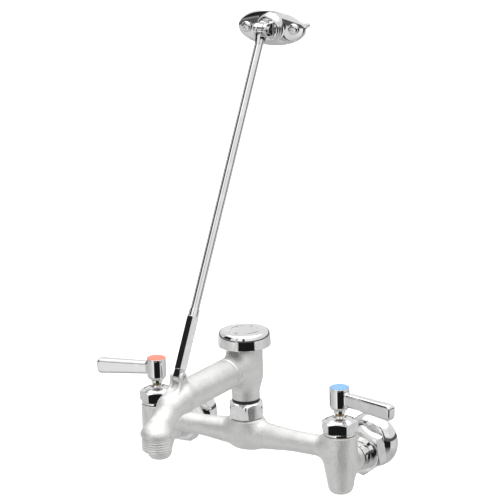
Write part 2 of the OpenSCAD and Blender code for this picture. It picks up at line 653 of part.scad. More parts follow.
module bracket_screws() color("silver") on_wall() for (s = [-1, 1])
  translate([s * screw_span / 2, 0, 0]) difference() {
    union() {
      rod(screw_shank_r, -screw_in, cut);
      rod(screw_shank_r + 0.2, 0, plate_t + plate_rise + cut);
      cone(0.4, screw_shank_r, -screw_in - 4, -screw_in);
      rotate_extrude() polygon(concat([[0, plate_t + plate_rise]],
        [for (i = [0 : 6]) let (a = 15 * i)
          [3 * cos(a) + bracket_head_r - 3, plate_t + plate_rise + bracket_head_h * (0.2 + 0.8 * sin(a))]],
        [[0, plate_t + plate_rise + bracket_head_h]], []));
    }
    for (a = [20, 110]) rotate([0, 0, a]) translate([-2.6, -0.55, plate_t + plate_rise + 1])
      cube([5.2, 1.1, bracket_head_h]);
  }

body_casting();
swivel_nut();
bonnet(-1, 33);  // hot_bonnet
bonnet(1, 20);  // cold_bonnet
bonnet_washer(-1);  // hot_bonnet_washer
bonnet_washer(1);  // cold_bonnet_washer
valve_sleeve(-1);  // hot_valve_sleeve
valve_sleeve(1);  // cold_valve_sleeve
fixed_disc(-1);  // hot_fixed_disc
fixed_disc(1);  // cold_fixed_disc
seat_seal(-1);  // hot_seat_seal
seat_seal(1);  // cold_seat_seal
moving_disc(-1);  // hot_moving_disc
moving_disc(1);  // cold_moving_disc
stem(-1);  // hot_stem
stem(1);  // cold_stem
stem_ring(-1);  // hot_stem_ring
stem_ring(1);  // cold_stem_ring
lever(-1);  // hot_lever
lever(1);  // cold_lever
index_button(-1, "tomato");  // hot_index
index_button(1, "cornflowerblue");  // cold_index
handle_screw(-1);  // hot_handle_screw
handle_screw(1);  // cold_handle_screw
tailpiece(-1);  // hot_tailpiece
tailpiece(1);  // cold_tailpiece
coupling_nut(-1, 0);  // hot_coupling_nut
coupling_nut(1, 39);  // cold_coupling_nut
strainer(-1);  // hot_strainer
strainer(1);  // cold_strainer
coupling_washer(-1);  // hot_coupling_washer
coupling_washer(1);  // cold_coupling_washer
inlet_adapter(-1);  // hot_inlet_adapter
inlet_adapter(1);  // cold_inlet_adapter
wall_flange(-1);  // hot_wall_flange
wall_flange(1);  // cold_wall_flange
breaker_body();
spigot_rings();
spigot_retainer();
swivel_ring();
breaker_seat();
breaker_float();
float_pads();
breaker_bonnet();
breaker_cap();
spout_tube();
clevis_pin();
brace_sleeve();
brace_rod();
wall_bracket();
bracket_pin();
bracket_screws();
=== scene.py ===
"""Looks for a wall mounted service sink faucet.

Castings, polished handles, hose thread, studio light and camera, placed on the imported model. Sizes in the class fields
are in millimetres and turn into metres when a mesh is made.
"""
import json
import logging
import math
from dataclasses import dataclass
from enum import Enum
from typing import Callable, ClassVar, Sequence

import bpy
import numpy as np
from mathutils import Matrix, Vector


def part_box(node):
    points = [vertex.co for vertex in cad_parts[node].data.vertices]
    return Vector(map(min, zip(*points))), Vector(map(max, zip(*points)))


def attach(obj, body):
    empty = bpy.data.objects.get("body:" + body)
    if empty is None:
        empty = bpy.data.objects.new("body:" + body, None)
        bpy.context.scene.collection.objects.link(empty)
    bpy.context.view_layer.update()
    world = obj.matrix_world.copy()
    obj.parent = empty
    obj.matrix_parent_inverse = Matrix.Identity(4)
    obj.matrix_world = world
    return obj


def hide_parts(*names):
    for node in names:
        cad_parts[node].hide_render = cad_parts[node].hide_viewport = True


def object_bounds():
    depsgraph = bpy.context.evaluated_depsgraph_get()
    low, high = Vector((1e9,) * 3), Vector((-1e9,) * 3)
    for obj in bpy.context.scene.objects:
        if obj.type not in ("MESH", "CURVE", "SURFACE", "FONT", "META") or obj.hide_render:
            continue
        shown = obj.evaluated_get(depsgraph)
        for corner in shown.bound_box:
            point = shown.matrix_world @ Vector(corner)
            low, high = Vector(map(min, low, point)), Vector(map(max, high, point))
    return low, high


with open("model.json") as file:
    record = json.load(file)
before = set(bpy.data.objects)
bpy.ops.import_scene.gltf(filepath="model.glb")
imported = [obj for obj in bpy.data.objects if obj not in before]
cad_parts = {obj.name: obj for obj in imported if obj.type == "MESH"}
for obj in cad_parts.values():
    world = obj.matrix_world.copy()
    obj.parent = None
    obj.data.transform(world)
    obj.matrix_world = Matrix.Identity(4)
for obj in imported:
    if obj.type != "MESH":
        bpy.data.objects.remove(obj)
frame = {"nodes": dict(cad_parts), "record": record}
CAD_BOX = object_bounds()

MM = 0.001
FULL_TURN = 2 * math.pi
BUTTON_PROUD = 0.6  # how far an index button stands over its hub
PIN_OVER_TUBE = 6.2  # from the top of the spout up to the brace's pin
JOINT_OUT = 35.0  # from the column out to the joint of the spout
TUBE_R = 14.4  # outside of the spout and of the boss that takes it
PIN_HOLE_R = 2.12  # holes for both brace pins
LOG = logging.getLogger("faucet")
Array = np.ndarray
Distance = Callable[[Array, Array, Array], Array]


class Side(Enum):
    """The two valves, by the way each lies from the middle."""

    HOT = -1
    COLD = 1

    @property
    def word(self) -> str:
        """The side's name in the names of nodes."""
        return self.name.lower()


class Slot(Enum):
    """The material slots of the record."""

    ROUGH_CHROME = "rough_chrome"
    POLISHED_CHROME = "polished_chrome"
    STEEL = "steel"
    BRASS = "brass"
    BLACK_RUBBER = "black_rubber"
    GREY_FIBRE = "grey_fibre"
    WHITE_PLASTIC = "white_plastic"
    CERAMIC = "ceramic"
    HOT_RED = "hot_red"
    COLD_BLUE = "cold_blue"


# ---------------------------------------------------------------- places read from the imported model


@dataclass(frozen=True)
class Places:
    """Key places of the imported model, in millimetres."""

    half: float
    reach: float
    hub_top: float
    spout_z: float
    outlet_y: float
    outlet_end: float
    bracket_z: float
    ear_pin: tuple[float, float]

    @classmethod
    def read(cls) -> "Places":
        """Read the places from the boxes of the nodes.

        Returns:
            The places.
        """
        button = [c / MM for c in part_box("cold_index")]
        spout = [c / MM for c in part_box("spout_tube")]
        pin = [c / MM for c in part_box("clevis_pin")]
        plate = [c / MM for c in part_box("wall_bracket")]
        middle = (button[0] + button[1]) / 2
        spout_r = spout[1].x
        return cls(
            half=middle.x,
            reach=-middle.y,
            hub_top=button[1].z - BUTTON_PROUD,
            spout_z=(pin[0].z + pin[1].z) / 2 - PIN_OVER_TUBE - spout_r,
            outlet_y=spout[0].y + spout_r,
            outlet_end=spout[0].z,
            bracket_z=(plate[0].z + plate[1].z) / 2,
            ear_pin=((pin[0].y + pin[1].y) / 2, (pin[0].z + pin[1].z) / 2),
        )


# ---------------------------------------------------------------- shaping


def soft_min(a: Array, b: Array, k: float) -> Array:
    """Join two distances with a fillet.

    Args:
        a: first distance.
        b: second distance.
        k: reach of the fillet.

    Returns:
        The joined distance.
    """
    h = np.maximum(k - np.abs(a - b), 0.0) / k
    return np.minimum(a, b) - h * h * k * 0.25


def soft_max(a: Array, b: Array, k: float) -> Array:
    """Cut one distance by another with a rounded edge of reach k."""
    return -soft_min(-a, -b, k)


def soft_profile(stations: Sequence[tuple[float, float]], blur: float) -> tuple[Array, Array]:
    """Turn a few stations into a smooth run of radii.

    Args:
        stations: pairs of place and radius, by rising place.
        blur: half width of the smoothing, in millimetres.

    Returns:
        Places and radii, for interpolation.
    """
    at, radius = np.array(stations, float).T
    step = 0.25
    dense = np.arange(at[0] - 2 * blur, at[-1] + 2 * blur + step, step)
    rough = np.interp(dense, at, radius)
    width = max(int(blur / step), 1)
    window = np.hanning(2 * width + 3)[1:-1]
    padded = np.pad(rough, width, mode="edge")
    return dense, np.convolve(padded, window / window.sum(), mode="valid")


class NetMesher:
    """Meshes the zero surface of a distance by surface nets, then settles each vertex on it."""

    CORNERS = [(i, j, k) for i in (0, 1) for j in (0, 1) for k in (0, 1)]
    PLANES = [(1, 2), (2, 0), (0, 1)]
    MARGIN = 1.5  # cells of room round the shape
    PASSES = 4  # how often the vertices settle
    FURTHEST = 0.6  # cells that a vertex may move
    FLATTEST = 0.05  # least squared slope, so that no step is too long

    def __init__(self, distance: Distance, low: Sequence[float], high: Sequence[float], step: float) -> None:
        """Keep the shape and its grid.

        Args:
            distance: signed distance, in millimetres.
            low: lowest corner of the grid.
            high: highest corner of the grid.
            step: size of a cell.
        """
        self.distance = distance
        self.step = step
        self.low = np.array(low, float) - self.MARGIN * step
        self.axes = [np.arange(a, b + (self.MARGIN + 1) * step, step) for a, b in zip(self.low, high)]

    def gradient(self, p: Array, h: float = 0.04) -> Array:
        """Slope of the distance, by central differences.

        Args:
            p: points, one a row.
            h: half of the difference's width.

        Returns:
            The slope at each point.
        """
        out = np.zeros_like(p)
        for i in range(3):
            d = np.zeros(3)
            d[i] = h
            out[:, i] = (self.distance(*(p + d).T) - self.distance(*(p - d).T)) / (2 * h)
        return out

    def build(self) -> tuple[Array, Array, Array]:
        """Mesh the shape.

        Returns:
            Vertices, quads and vertex normals.
        """
        field = self.distance(*np.meshgrid(*self.axes, indexing="ij"))
        field = np.broadcast_to(field, [len(a) for a in self.axes]).astype(float)
        inside = field < 0
        cells = tuple(n - 1 for n in field.shape)
        count = np.zeros(cells, np.int8)
        for c in self.CORNERS:
            count += inside[tuple(slice(o, o + n) for o, n in zip(c, cells))]
        active = (count > 0) & (count < 8)
        where = np.argwhere(active)
        total = np.zeros((len(where), 3))
        hits = np.zeros(len(where))
        for a in self.CORNERS:
            for axis in range(3):
                if a[axis]:
                    continue
                b = tuple(v + (i == axis) for i, v in enumerate(a))
                fa = field[tuple((where + a).T)]
                fb = field[tuple((where + b).T)]
                cross = (fa < 0) != (fb < 0)
                t = np.where(cross, fa / np.where(cross, fa - fb, 1.0), 0.0)
                spot = np.array(a, float) + t[:, None] * (np.array(b) - np.array(a))
                total += np.where(cross[:, None], spot, 0.0)
                hits += cross
        points = self.low + (where + total / hits[:, None]) * self.step
        index = np.full(cells, -1, np.int64)
        index[active] = np.arange(len(where))
        quads = []
        for axis in range(3):
            u, v = self.PLANES[axis]
            lo = [slice(1, -1)] * 3
            lo[axis] = slice(0, -1)
            hi = list(lo)
            hi[axis] = slice(1, None)
            here, there = inside[tuple(lo)], inside[tuple(hi)]
            for leaving in (True, False):
                base = np.argwhere((here != there) & (here == leaving))
                base += [0 if i == axis else 1 for i in range(3)]
                ring = []
                for du, dv in ((0, 0), (-1, 0), (-1, -1), (0, -1)):
                    cell = base.copy()
                    cell[:, u] += du
                    cell[:, v] += dv
                    ring.append(index[tuple(cell.T)])
                quad = np.stack(ring, 1)
                quads.append(quad if leaving else quad[:, ::-1])
        limit = self.FURTHEST * self.step
        start = points.copy()
        for _ in range(self.PASSES):
            g = self.gradient(points)
            size = np.maximum((g * g).sum(1), self.FLATTEST)
            move = -(self.distance(*points.T) / size)[:, None] * g
            points = start + np.clip(points + move - start, -limit, limit)
        g = self.gradient(points)
        normals = g / np.maximum(np.linalg.norm(g, axis=1), 1e-6)[:, None]
        return points, np.concatenate(quads), normals


def ring_faces(rings: int, around: int) -> list[list[int]]:
    """Join rings of points into one closed shell, the last ring to the first.

    Args:
        rings: how many rings there are.
        around: points in each ring.

    Returns:
        The vertex numbers of each face.
    """
    faces = []
    for i in range(rings):
        k = (i + 1) % rings
        for j in range(around):
            m = (j + 1) % around
            faces.append([i * around + j, k * around + j, k * around + m, i * around + m])
    return faces


def make_piece(
    name: str, points: Array, faces: Sequence[Sequence[int]], normals: Array | None = None
) -> bpy.types.Object:
    """Make a mesh object from millimetre points.

    Args:
        name: name of the piece.
        points: vertices in millimetres.
        faces: vertex numbers of each face.
        normals: a normal for each vertex, or None for the mesh's own.

    Returns:
        The new object, linked to the scene.
    """
    mesh = bpy.data.meshes.new(name)
    mesh.from_pydata((np.asarray(points) * MM).tolist(), [], [list(map(int, f)) for f in faces])
    mesh.update()
    mesh.shade_smooth()
    if normals is not None:
        mesh.normals_split_custom_set_from_vertices(np.asarray(normals).tolist())
    piece = bpy.data.objects.new(name, mesh)
    bpy.context.scene.collection.objects.link(piece)
    return piece


# ---------------------------------------------------------------- shader building


class Nodes:
    """Adds and joins the nodes of one tree."""

    def __init__(self, tree: bpy.types.NodeTree) -> None:
        """Keep the tree that the nodes go in."""
        self.tree = tree

    def add(self, kind: str, inputs: dict | None = None, **settings: object) -> bpy.types.Node:
        """Add a node.

        Args:
            kind: Blender's node type.
            inputs: values or sockets by input name or number.
            settings: properties of the node.

        Returns:
            The new node.
        """
        node = self.tree.nodes.new(kind)
        for key, value in settings.items():
            setattr(node, key, value)
        for key, value in (inputs or {}).items():
            if isinstance(value, bpy.types.NodeSocket):
                self.tree.links.new(value, node.inputs[key])
            else:
                node.inputs[key].default_value = value
        return node

    def math(self, operation: str, *values: object) -> bpy.types.NodeSocket:
        """Add a Math node and give its result."""
        return self.add("ShaderNodeMath", dict(enumerate(values)), operation=operation).outputs[0]

    def times(self, first: object, second: object) -> bpy.types.NodeSocket:
        """Add a Math node that multiplies and give its result."""
        return self.math("MULTIPLY", first, second)

    def span(self, value: object, low: float, high: object, to_low: float, to_high: float) -> bpy.types.NodeSocket:
        """Map a value from one range to another, clamped, and give the result."""
        inputs = {0: value, 1: low, 2: high, 3: to_low, 4: to_high}
        return self.add("ShaderNodeMapRange", inputs, clamp=True).outputs[0]

    def noise(self, where: object, scale: object, detail: float = 3.0, rough: float = 0.5) -> bpy.types.NodeSocket:
        """Add a noise texture and give its value."""
        inputs = {"Vector": where, "Scale": scale, "Detail": detail, "Roughness": rough}
        return self.add("ShaderNodeTexNoise", inputs).outputs["Fac"]

    def cells(self, where: object, scale: object) -> bpy.types.NodeSocket:
        """Add a cell texture and give the distance to the nearest cell's middle."""
        return self.add("ShaderNodeTexVoronoi", {"Vector": where, "Scale": scale}).outputs["Distance"]

    def mix(self, share: object, first: object, second: object) -> bpy.types.NodeSocket:
        """Add a colour Mix node and give its result; a colour may be a socket or three numbers."""
        first, second = (c if isinstance(c, bpy.types.NodeSocket) else (*c, 1) for c in (first, second))
        return self.add("ShaderNodeMix", {0: share, 6: first, 7: second}, data_type="RGBA").outputs[2]

    def effect(self, group: bpy.types.NodeTree, **values: float) -> bpy.types.NodeOutputs:
        """Place a shared effect with its own values and give its outputs."""
        return self.add("ShaderNodeGroup", values, node_tree=group).outputs

    def surface(self, inputs: dict, relief: dict | None = None) -> None:
        """Add the shader, with a bump where one is given, and join it to the output.

        Args:
            inputs: the shader's inputs.
            relief: the bump's inputs.
        """
        if relief:
            inputs = inputs | {"Normal": self.add("ShaderNodeBump", relief).outputs[0]}
        shader = self.add("ShaderNodeBsdfPrincipled", inputs)
        self.add("ShaderNodeOutputMaterial", {"Surface": shader.outputs[0]})


def new_group(
    name: str, inputs: dict[str, float], outputs: Sequence[str]
) -> tuple[Nodes, bpy.types.NodeOutputs, bpy.types.NodeSocket]:
    """Start a shader node group with float sockets.

    Args:
        name: name of the group.
        inputs: input names with their default values.
        outputs: output names.

    Returns:
        A builder for the group, the group's own inputs, and the place on the object.
    """
    tree = bpy.data.node_groups.new(name, "ShaderNodeTree")
    for key, value in inputs.items():
        tree.interface.new_socket(key, in_out="INPUT", socket_type="NodeSocketFloat").default_value = value
    for key in outputs:
        tree.interface.new_socket(key, in_out="OUTPUT", socket_type="NodeSocketFloat")
    n = Nodes(tree)
    return n, n.add("NodeGroupInput").outputs, n.add("ShaderNodeTexCoord").outputs["Object"]


def grey(level: float) -> tuple[float, float, float]:
    """A grey colour."""
    return level, level, level


def new_material(name: str) -> tuple[bpy.types.Material, Nodes]:
    """Start a material with no nodes.

    Args:
        name: name of the material.

    Returns:
        The material and a builder for its tree.
    """
    material = bpy.data.materials.new(name)
    material.use_nodes = True
    material.node_tree.nodes.clear()
    return material, Nodes(material.node_tree)


class Effects:
    """The shared effects, each a node group that is built once."""

    def __init__(self) -> None:
        """Build every group."""
        self.grain = self._grain()
        self.wear_and_shade = self._wear_and_shade()
        self.smudge = self._smudge()
        self.hairlines = self._hairlines()

    @staticmethod
    def _grain() -> bpy.types.NodeTree:
        """Blasted casting grain: pits and peen marks of two sizes.

        Returns:
            The group, with the grain's height and its tone.
        """
        n, source, spot = new_group("blasted_grain", {"Scale": 900.0, "Coarse": 0.5}, ["Height", "Tone"])
        scale = source["Scale"]
        fine = n.times(n.noise(spot, n.times(scale, 2.6), 2.0, 0.6), 0.4)
        coarse = n.noise(spot, scale, 3.0, 0.55)
        dents = n.times(n.cells(spot, n.times(scale, 1.5)), 0.35)
        height = n.math("ADD", n.math("ADD", fine, n.times(coarse, source["Coarse"])), dents)
        patch = n.noise(spot, n.times(scale, 0.09), 3.0, 0.6)
        tone = n.math("ADD", n.times(coarse, 0.6), n.times(patch, 0.4))
        n.add("NodeGroupOutput", {"Height": height, "Tone": tone})
        return n.tree

    @staticmethod
    def _wear_and_shade() -> bpy.types.NodeTree:
        """Worn edges and painted shade in the hollows, from how sharply the surface turns.

        Returns:
            The group, with masks of the worn edges and of the painted shade in the hollows.
        """
        n, source, spot = new_group("edge_wear_and_hollow_shade", {"Spread": 0.06, "Breakup": 400.0}, ["Edge", "HollowShade"])
        turn = n.add("ShaderNodeNewGeometry").outputs["Pointiness"]
        broken = n.times(n.math("SUBTRACT", n.noise(spot, source["Breakup"], 4.0, 0.6), 0.5), 0.05)
        moved = n.math("ADD", turn, broken)
        bulge, dip = 0.52, 0.48
        edge = n.span(moved, bulge, n.math("ADD", bulge, source["Spread"]), 0.0, 1.0)
        # hollow: mask of the painted shade in concave places
        hollow = n.span(moved, dip, n.math("SUBTRACT", dip, source["Spread"]), 0.0, 1.0)
        n.add("NodeGroupOutput", {"Edge": edge, "HollowShade": hollow})
        return n.tree

    @staticmethod
    def _smudge() -> bpy.types.NodeTree:
        """Faint handling marks and water film that change the gloss.

        Returns:
            The group, with masks of the film and of small spots.
        """
        n, source, spot = new_group("handling_film", {"Scale": 60.0}, ["Film", "Spots"])
        broad = n.noise(spot, source["Scale"], 4.0, 0.6)
        film = n.span(broad, 0.42, 0.72, 0.0, 1.0)
        drops = n.span(n.cells(spot, n.times(source["Scale"], 4.0)), 0.0, 0.16, 1.0, 0.0)
        spots = n.times(drops, n.span(broad, 0.5, 0.6, 0.0, 1.0))
        n.add("NodeGroupOutput", {"Film": film, "Spots": spots})
        return n.tree

    @staticmethod
    def _hairlines() -> bpy.types.NodeTree:
        """Polishing lines: fine noise drawn out along one way, over a slow swell.

        Returns:
            The group, with the height of the lines.
        """
        n, source, spot = new_group("polish_lines", {"Scale": 700.0, "Stretch": 0.04}, ["Height"])
        factor = n.add("ShaderNodeCombineXYZ", {0: 1.0, 1: 1.0, 2: source["Stretch"]}).outputs[0]
        drawn = n.add("ShaderNodeVectorMath", {0: spot, 1: factor}, operation="MULTIPLY").outputs[0]
        lines = n.noise(drawn, source["Scale"], 2.0, 0.6)
        swell = n.noise(spot, 45.0, 1.0, 0.4)
        n.add("NodeGroupOutput", {"Height": n.math("ADD", n.times(lines, 0.04), swell)})
        return n.tree


@dataclass(frozen=True)
class Metal:
    """A metal finish.

    Args:
        name: name of the material.
        light: colour where the surface is clean.
        dark: colour of the dull patches, and the base of the painted shade in hollows.
        gloss: roughness where it is cleanest.
        dull: roughness where it is dullest.
        grain: scale of the surface grain, per metre.
        relief: depth of the grain, in millimetres.
        lined: whether the grain is polishing lines.
        bump: strength of the grain's bump.
        metallic: how much of the surface is bare metal, not dull haze.
    """

    name: str
    light: tuple[float, float, float]
    dark: tuple[float, float, float]
    gloss: float
    dull: float
    grain: float
    relief: float
    lined: bool = False
    bump: float = 0.5
    metallic: float = 1.0
    FILM_SCALE: ClassVar[float] = 55.0
    WORN_LIGHTER: ClassVar[float] = 1.12
    WORN_SHARE: ClassVar[float] = 0.6
    # painted shade: hollows darken towards this share of the dark colour, mixed in at the share below
    HOLLOW_SHADE_DARKER: ClassVar[float] = 0.55
    HOLLOW_SHADE_SHARE: ClassVar[float] = 0.5

    def build(self, effects: Effects) -> bpy.types.Material:
        """Build the material from the shared effects.

        Args:
            effects: the effects that it places.

        Returns:
            The material.
        """
        material, n = new_material(self.name)
        film = n.effect(effects.smudge, Scale=self.FILM_SCALE)
        wear_and_shade = n.effect(effects.wear_and_shade)
        grain = n.effect(effects.hairlines if self.lined else effects.grain, Scale=self.grain)
        shade = n.span(film["Film"] if self.lined else grain["Tone"], 0.35, 0.65, 0.0, 1.0)
        worn_tone = tuple(min(c * self.WORN_LIGHTER, 0.98) for c in self.light)
        # colour of the painted shade in hollows: a darker copy of the dark colour
        hollow_shade_tone = tuple(c * self.HOLLOW_SHADE_DARKER for c in self.dark)
        colour = n.mix(shade, self.dark, self.light)
        colour = n.mix(n.times(wear_and_shade["Edge"], self.WORN_SHARE), colour, worn_tone)
        # lay the painted shade into the hollows
        colour = n.mix(n.times(wear_and_shade["HollowShade"], self.HOLLOW_SHADE_SHARE), colour, hollow_shade_tone)
        rough = n.span(n.math("ADD", film["Film"], film["Spots"]), 0.0, 1.6, self.gloss, self.dull)
        relief = {"Strength": self.bump, "Distance": self.relief * MM, "Height": grain["Height"]}
        n.surface({"Base Color": colour, "Metallic": self.metallic, "Roughness": rough}, relief)
        return material


@dataclass(frozen=True)
class Solid:
    """A finish of rubber, plastic, fibre, ceramic or enamel.

    Args:
        name: name of the material.
        light: main colour.
        dark: colour of the duller patches.
        gloss: lowest roughness.
        dull: highest roughness.
        grain: scale of the grain, per metre.
        relief: depth of the grain, in millimetres.
        coat: weight of a clear coat.
    """

    name: str
    light: tuple[float, float, float]
    dark: tuple[float, float, float]
    gloss: float
    dull: float
    grain: float
    relief: float
    coat: float = 0.0
    FILM_SCALE: ClassVar[float] = 90.0
    BUMP: ClassVar[float] = 0.4

    def build(self, effects: Effects) -> bpy.types.Material:
        """Build the material from the shared effects.

        Args:
            effects: the effects that it places.

        Returns:
            The material.
        """
        material, n = new_material(self.name)
        grain = n.effect(effects.grain, Scale=self.grain)
        film = n.effect(effects.smudge, Scale=self.FILM_SCALE)
        colour = n.mix(n.span(grain["Tone"], 0.35, 0.65, 0.0, 1.0), self.dark, self.light)
        rough = n.span(film["Film"], 0.0, 1.0, self.gloss, self.dull)
        relief = {"Strength": self.BUMP, "Distance": self.relief * MM, "Height": grain["Height"]}
        n.surface({"Base Color": colour, "Roughness": rough, "Coat Weight": self.coat}, relief)
        return material


class Paintbox:
    """Every finish of the faucet, by material slot."""

    def __init__(self) -> None:
        """Build the effects and then each finish."""
        effects = Effects()
        rough_light, rough_dark = (0.95, 0.95, 0.93), (0.77, 0.77, 0.755)
        brass_light, brass_dark = (0.55, 0.43, 0.24), (0.34, 0.26, 0.15)
        finishes = {
            Slot.ROUGH_CHROME: Metal(
                "rough_chrome", rough_light, rough_dark, 0.36, 0.48, 750.0, 0.45, bump=1.0, metallic=0.88
            ),
            Slot.POLISHED_CHROME: Metal(
                "polished_chrome", grey(0.90), grey(0.82), 0.03, 0.08, 700.0, 0.006, lined=True, bump=0.25
            ),
            Slot.STEEL: Metal("steel", grey(0.62), grey(0.48), 0.18, 0.32, 900.0, 0.02, lined=True),
            Slot.BRASS: Metal("turned_brass", brass_light, brass_dark, 0.2, 0.38, 900.0, 0.02, lined=True),
            Slot.BLACK_RUBBER: Solid("black_rubber", grey(0.018), grey(0.01), 0.45, 0.62, 1200.0, 0.03),
            Slot.GREY_FIBRE: Solid("grey_fibre", (0.16, 0.12, 0.09), (0.09, 0.07, 0.05), 0.6, 0.8, 900.0, 0.05),
            Slot.WHITE_PLASTIC: Solid("white_plastic", (0.82, 0.82, 0.80), (0.74, 0.74, 0.72), 0.35, 0.5, 800.0, 0.01),
            Slot.CERAMIC: Solid("ceramic", (0.86, 0.84, 0.80), (0.78, 0.76, 0.72), 0.15, 0.25, 900.0, 0.005),
            Slot.HOT_RED: Solid("hot_red", (0.95, 0.20, 0.12), (0.86, 0.16, 0.09), 0.2, 0.35, 600.0, 0.01, coat=0.3),
            Slot.COLD_BLUE: Solid("cold_blue", (0.17, 0.40, 0.80), (0.13, 0.34, 0.72), 0.2, 0.35, 600.0, 0.01, 0.3),
        }
        self.made = {slot: finish.build(effects) for slot, finish in finishes.items()}

    def dress(self, piece: bpy.types.Object, slot: Slot) -> None:
        """Give a new piece a finish.

        Args:
            piece: the piece.
            slot: the slot that its finish comes from.
        """
        piece.data.materials.clear()
        piece.data.materials.append(self.made[slot])

    def dress_node(self, node: bpy.types.Object, slot: Slot) -> None:
        """Give a carried node a finish in every material slot.

        Args:
            node: the node's object.
            slot: the slot that its finish comes from.
        """
        if not node.material_slots:
            node.data.materials.append(self.made[slot])
        for place in node.material_slots:
            place.material = self.made[slot]


# ---------------------------------------------------------------- sub-assemblies


@dataclass
class BodyCasting:
    """The bridge casting: two valve housings, two arms, the column boss and the two inlet bosses."""

    places: Places
    bridge_z: float = 11.0
    arm_r: float = 10.0
    middle_r: float = 13.4
    arm_bore: float = 6.8
    top: float = 26.0
    top_edge: float = 1.0
    bottom: float = -32.0
    bottom_edge: float = 7.0
    rim_r: float = 16.2
    chamber_r: float = 13.2
    chamber_floor: float = 4.0
    lower_bore: float = 9.0
    floor_t: float = 5.0
    inlet_r: float = 13.5
    inlet_end: float = -42.5
    inlet_edge: float = 1.0
    inlet_bore: float = 10.43
    inlet_depth: float = 10.0
    feed_bore: float = 7.3
    drop: float = 5.0
    column_foot: float = -2.0
    foot_edge: float = 6.0
    column_top: float = 26.4
    column_edge: float = 1.2
    neck_r: float = 13.38
    neck_foot: float = 20.0
    neck_top: float = 34.0
    socket_r: float = 9.76
    socket_floor: float = 19.0
    fillet: float = 9.0
    inlet_fillet: float = 6.0
    front_room: float = 18.0
    step: float = 0.95

    def distance(self, x: Array, y: Array, z: Array) -> Array:
        """Signed distance of the casting.

        Args:
            x: places across.
            y: places out of the wall, falling towards the front.
            z: heights.

        Returns:
            Distances, negative inside.
        """
        reach, half = self.places.reach, self.places.half
        across = np.abs(x)
        out = y + reach
        at, radius = self.arm_run
        arm = np.hypot(out, z - self.bridge_z) - np.interp(across, at, radius)
        arm = np.maximum(arm, across - half)
        at, radius = self.housing_run
        valve = np.hypot(across - half, out)
        housing = soft_max(valve - np.interp(z, at, radius), z - self.top, self.top_edge)
        housing = soft_max(housing, self.bottom - z, self.bottom_edge)
        at, radius = self.column_run
        column = np.hypot(x, out)
        boss = soft_max(column - np.interp(z, at, radius), z - self.column_top, self.column_edge)
        boss = soft_max(boss, self.column_foot - z, self.foot_edge)
        inlet = np.hypot(across - half, z + self.drop)
        rear = soft_max(inlet - self.inlet_r, y - self.inlet_end, self.inlet_edge)
        rear = np.maximum(rear, -reach - y)
        shape = soft_min(arm, boss, self.fillet)
        shape = soft_min(shape, soft_min(housing, rear, self.inlet_fillet), self.fillet)
        neck = np.maximum(column - self.neck_r, np.maximum(z - self.neck_top, self.neck_foot - z))
        shape = np.minimum(shape, neck)
        for cut in (
            np.maximum(valve - self.chamber_r, self.chamber_floor - z),
            np.maximum(valve - self.lower_bore, self.bottom + self.floor_t - z),
            np.maximum(column - self.socket_r, self.socket_floor - z),
            np.maximum(inlet - self.inlet_bore, self.inlet_end - self.inlet_depth - y),
            np.maximum(inlet - self.feed_bore, -reach - y),
            np.maximum(np.hypot(out, z - self.bridge_z) - self.arm_bore, across - half),
        ):
            shape = np.maximum(shape, -cut)
        return shape

    def build(self, paint: Paintbox) -> bpy.types.Object:
        """Mesh, dress and place the casting.

        Args:
            paint: the finishes.

        Returns:
            The piece.
        """
        half, rim_r, middle_r, arm_r = self.places.half, self.rim_r, self.middle_r, self.arm_r
        self.arm_run = soft_profile([(0, middle_r), (12, middle_r), (50, arm_r), (half, arm_r)], 9.0)
        self.housing_run = soft_profile(
            [(-40, 10.4), (-28, 11.7), (-20, 13.0), (-9, 14.9), (0, 16.1), (6, rim_r), (30, rim_r)], 4.0
        )
        self.column_run = soft_profile([(-4, 11), (4, 12), (10, 13), (22, 16.1), (30, 16.1)], 3.0)
        low = (-half - rim_r, -self.places.reach - self.front_room, self.bottom)
        high = (half + rim_r, self.inlet_end, self.neck_top)
        piece = make_piece("bridge_casting", *NetMesher(self.distance, low, high, self.step).build())
        paint.dress(piece, Slot.ROUGH_CHROME)
        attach(piece, "body")
        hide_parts("body_casting")
        return piece


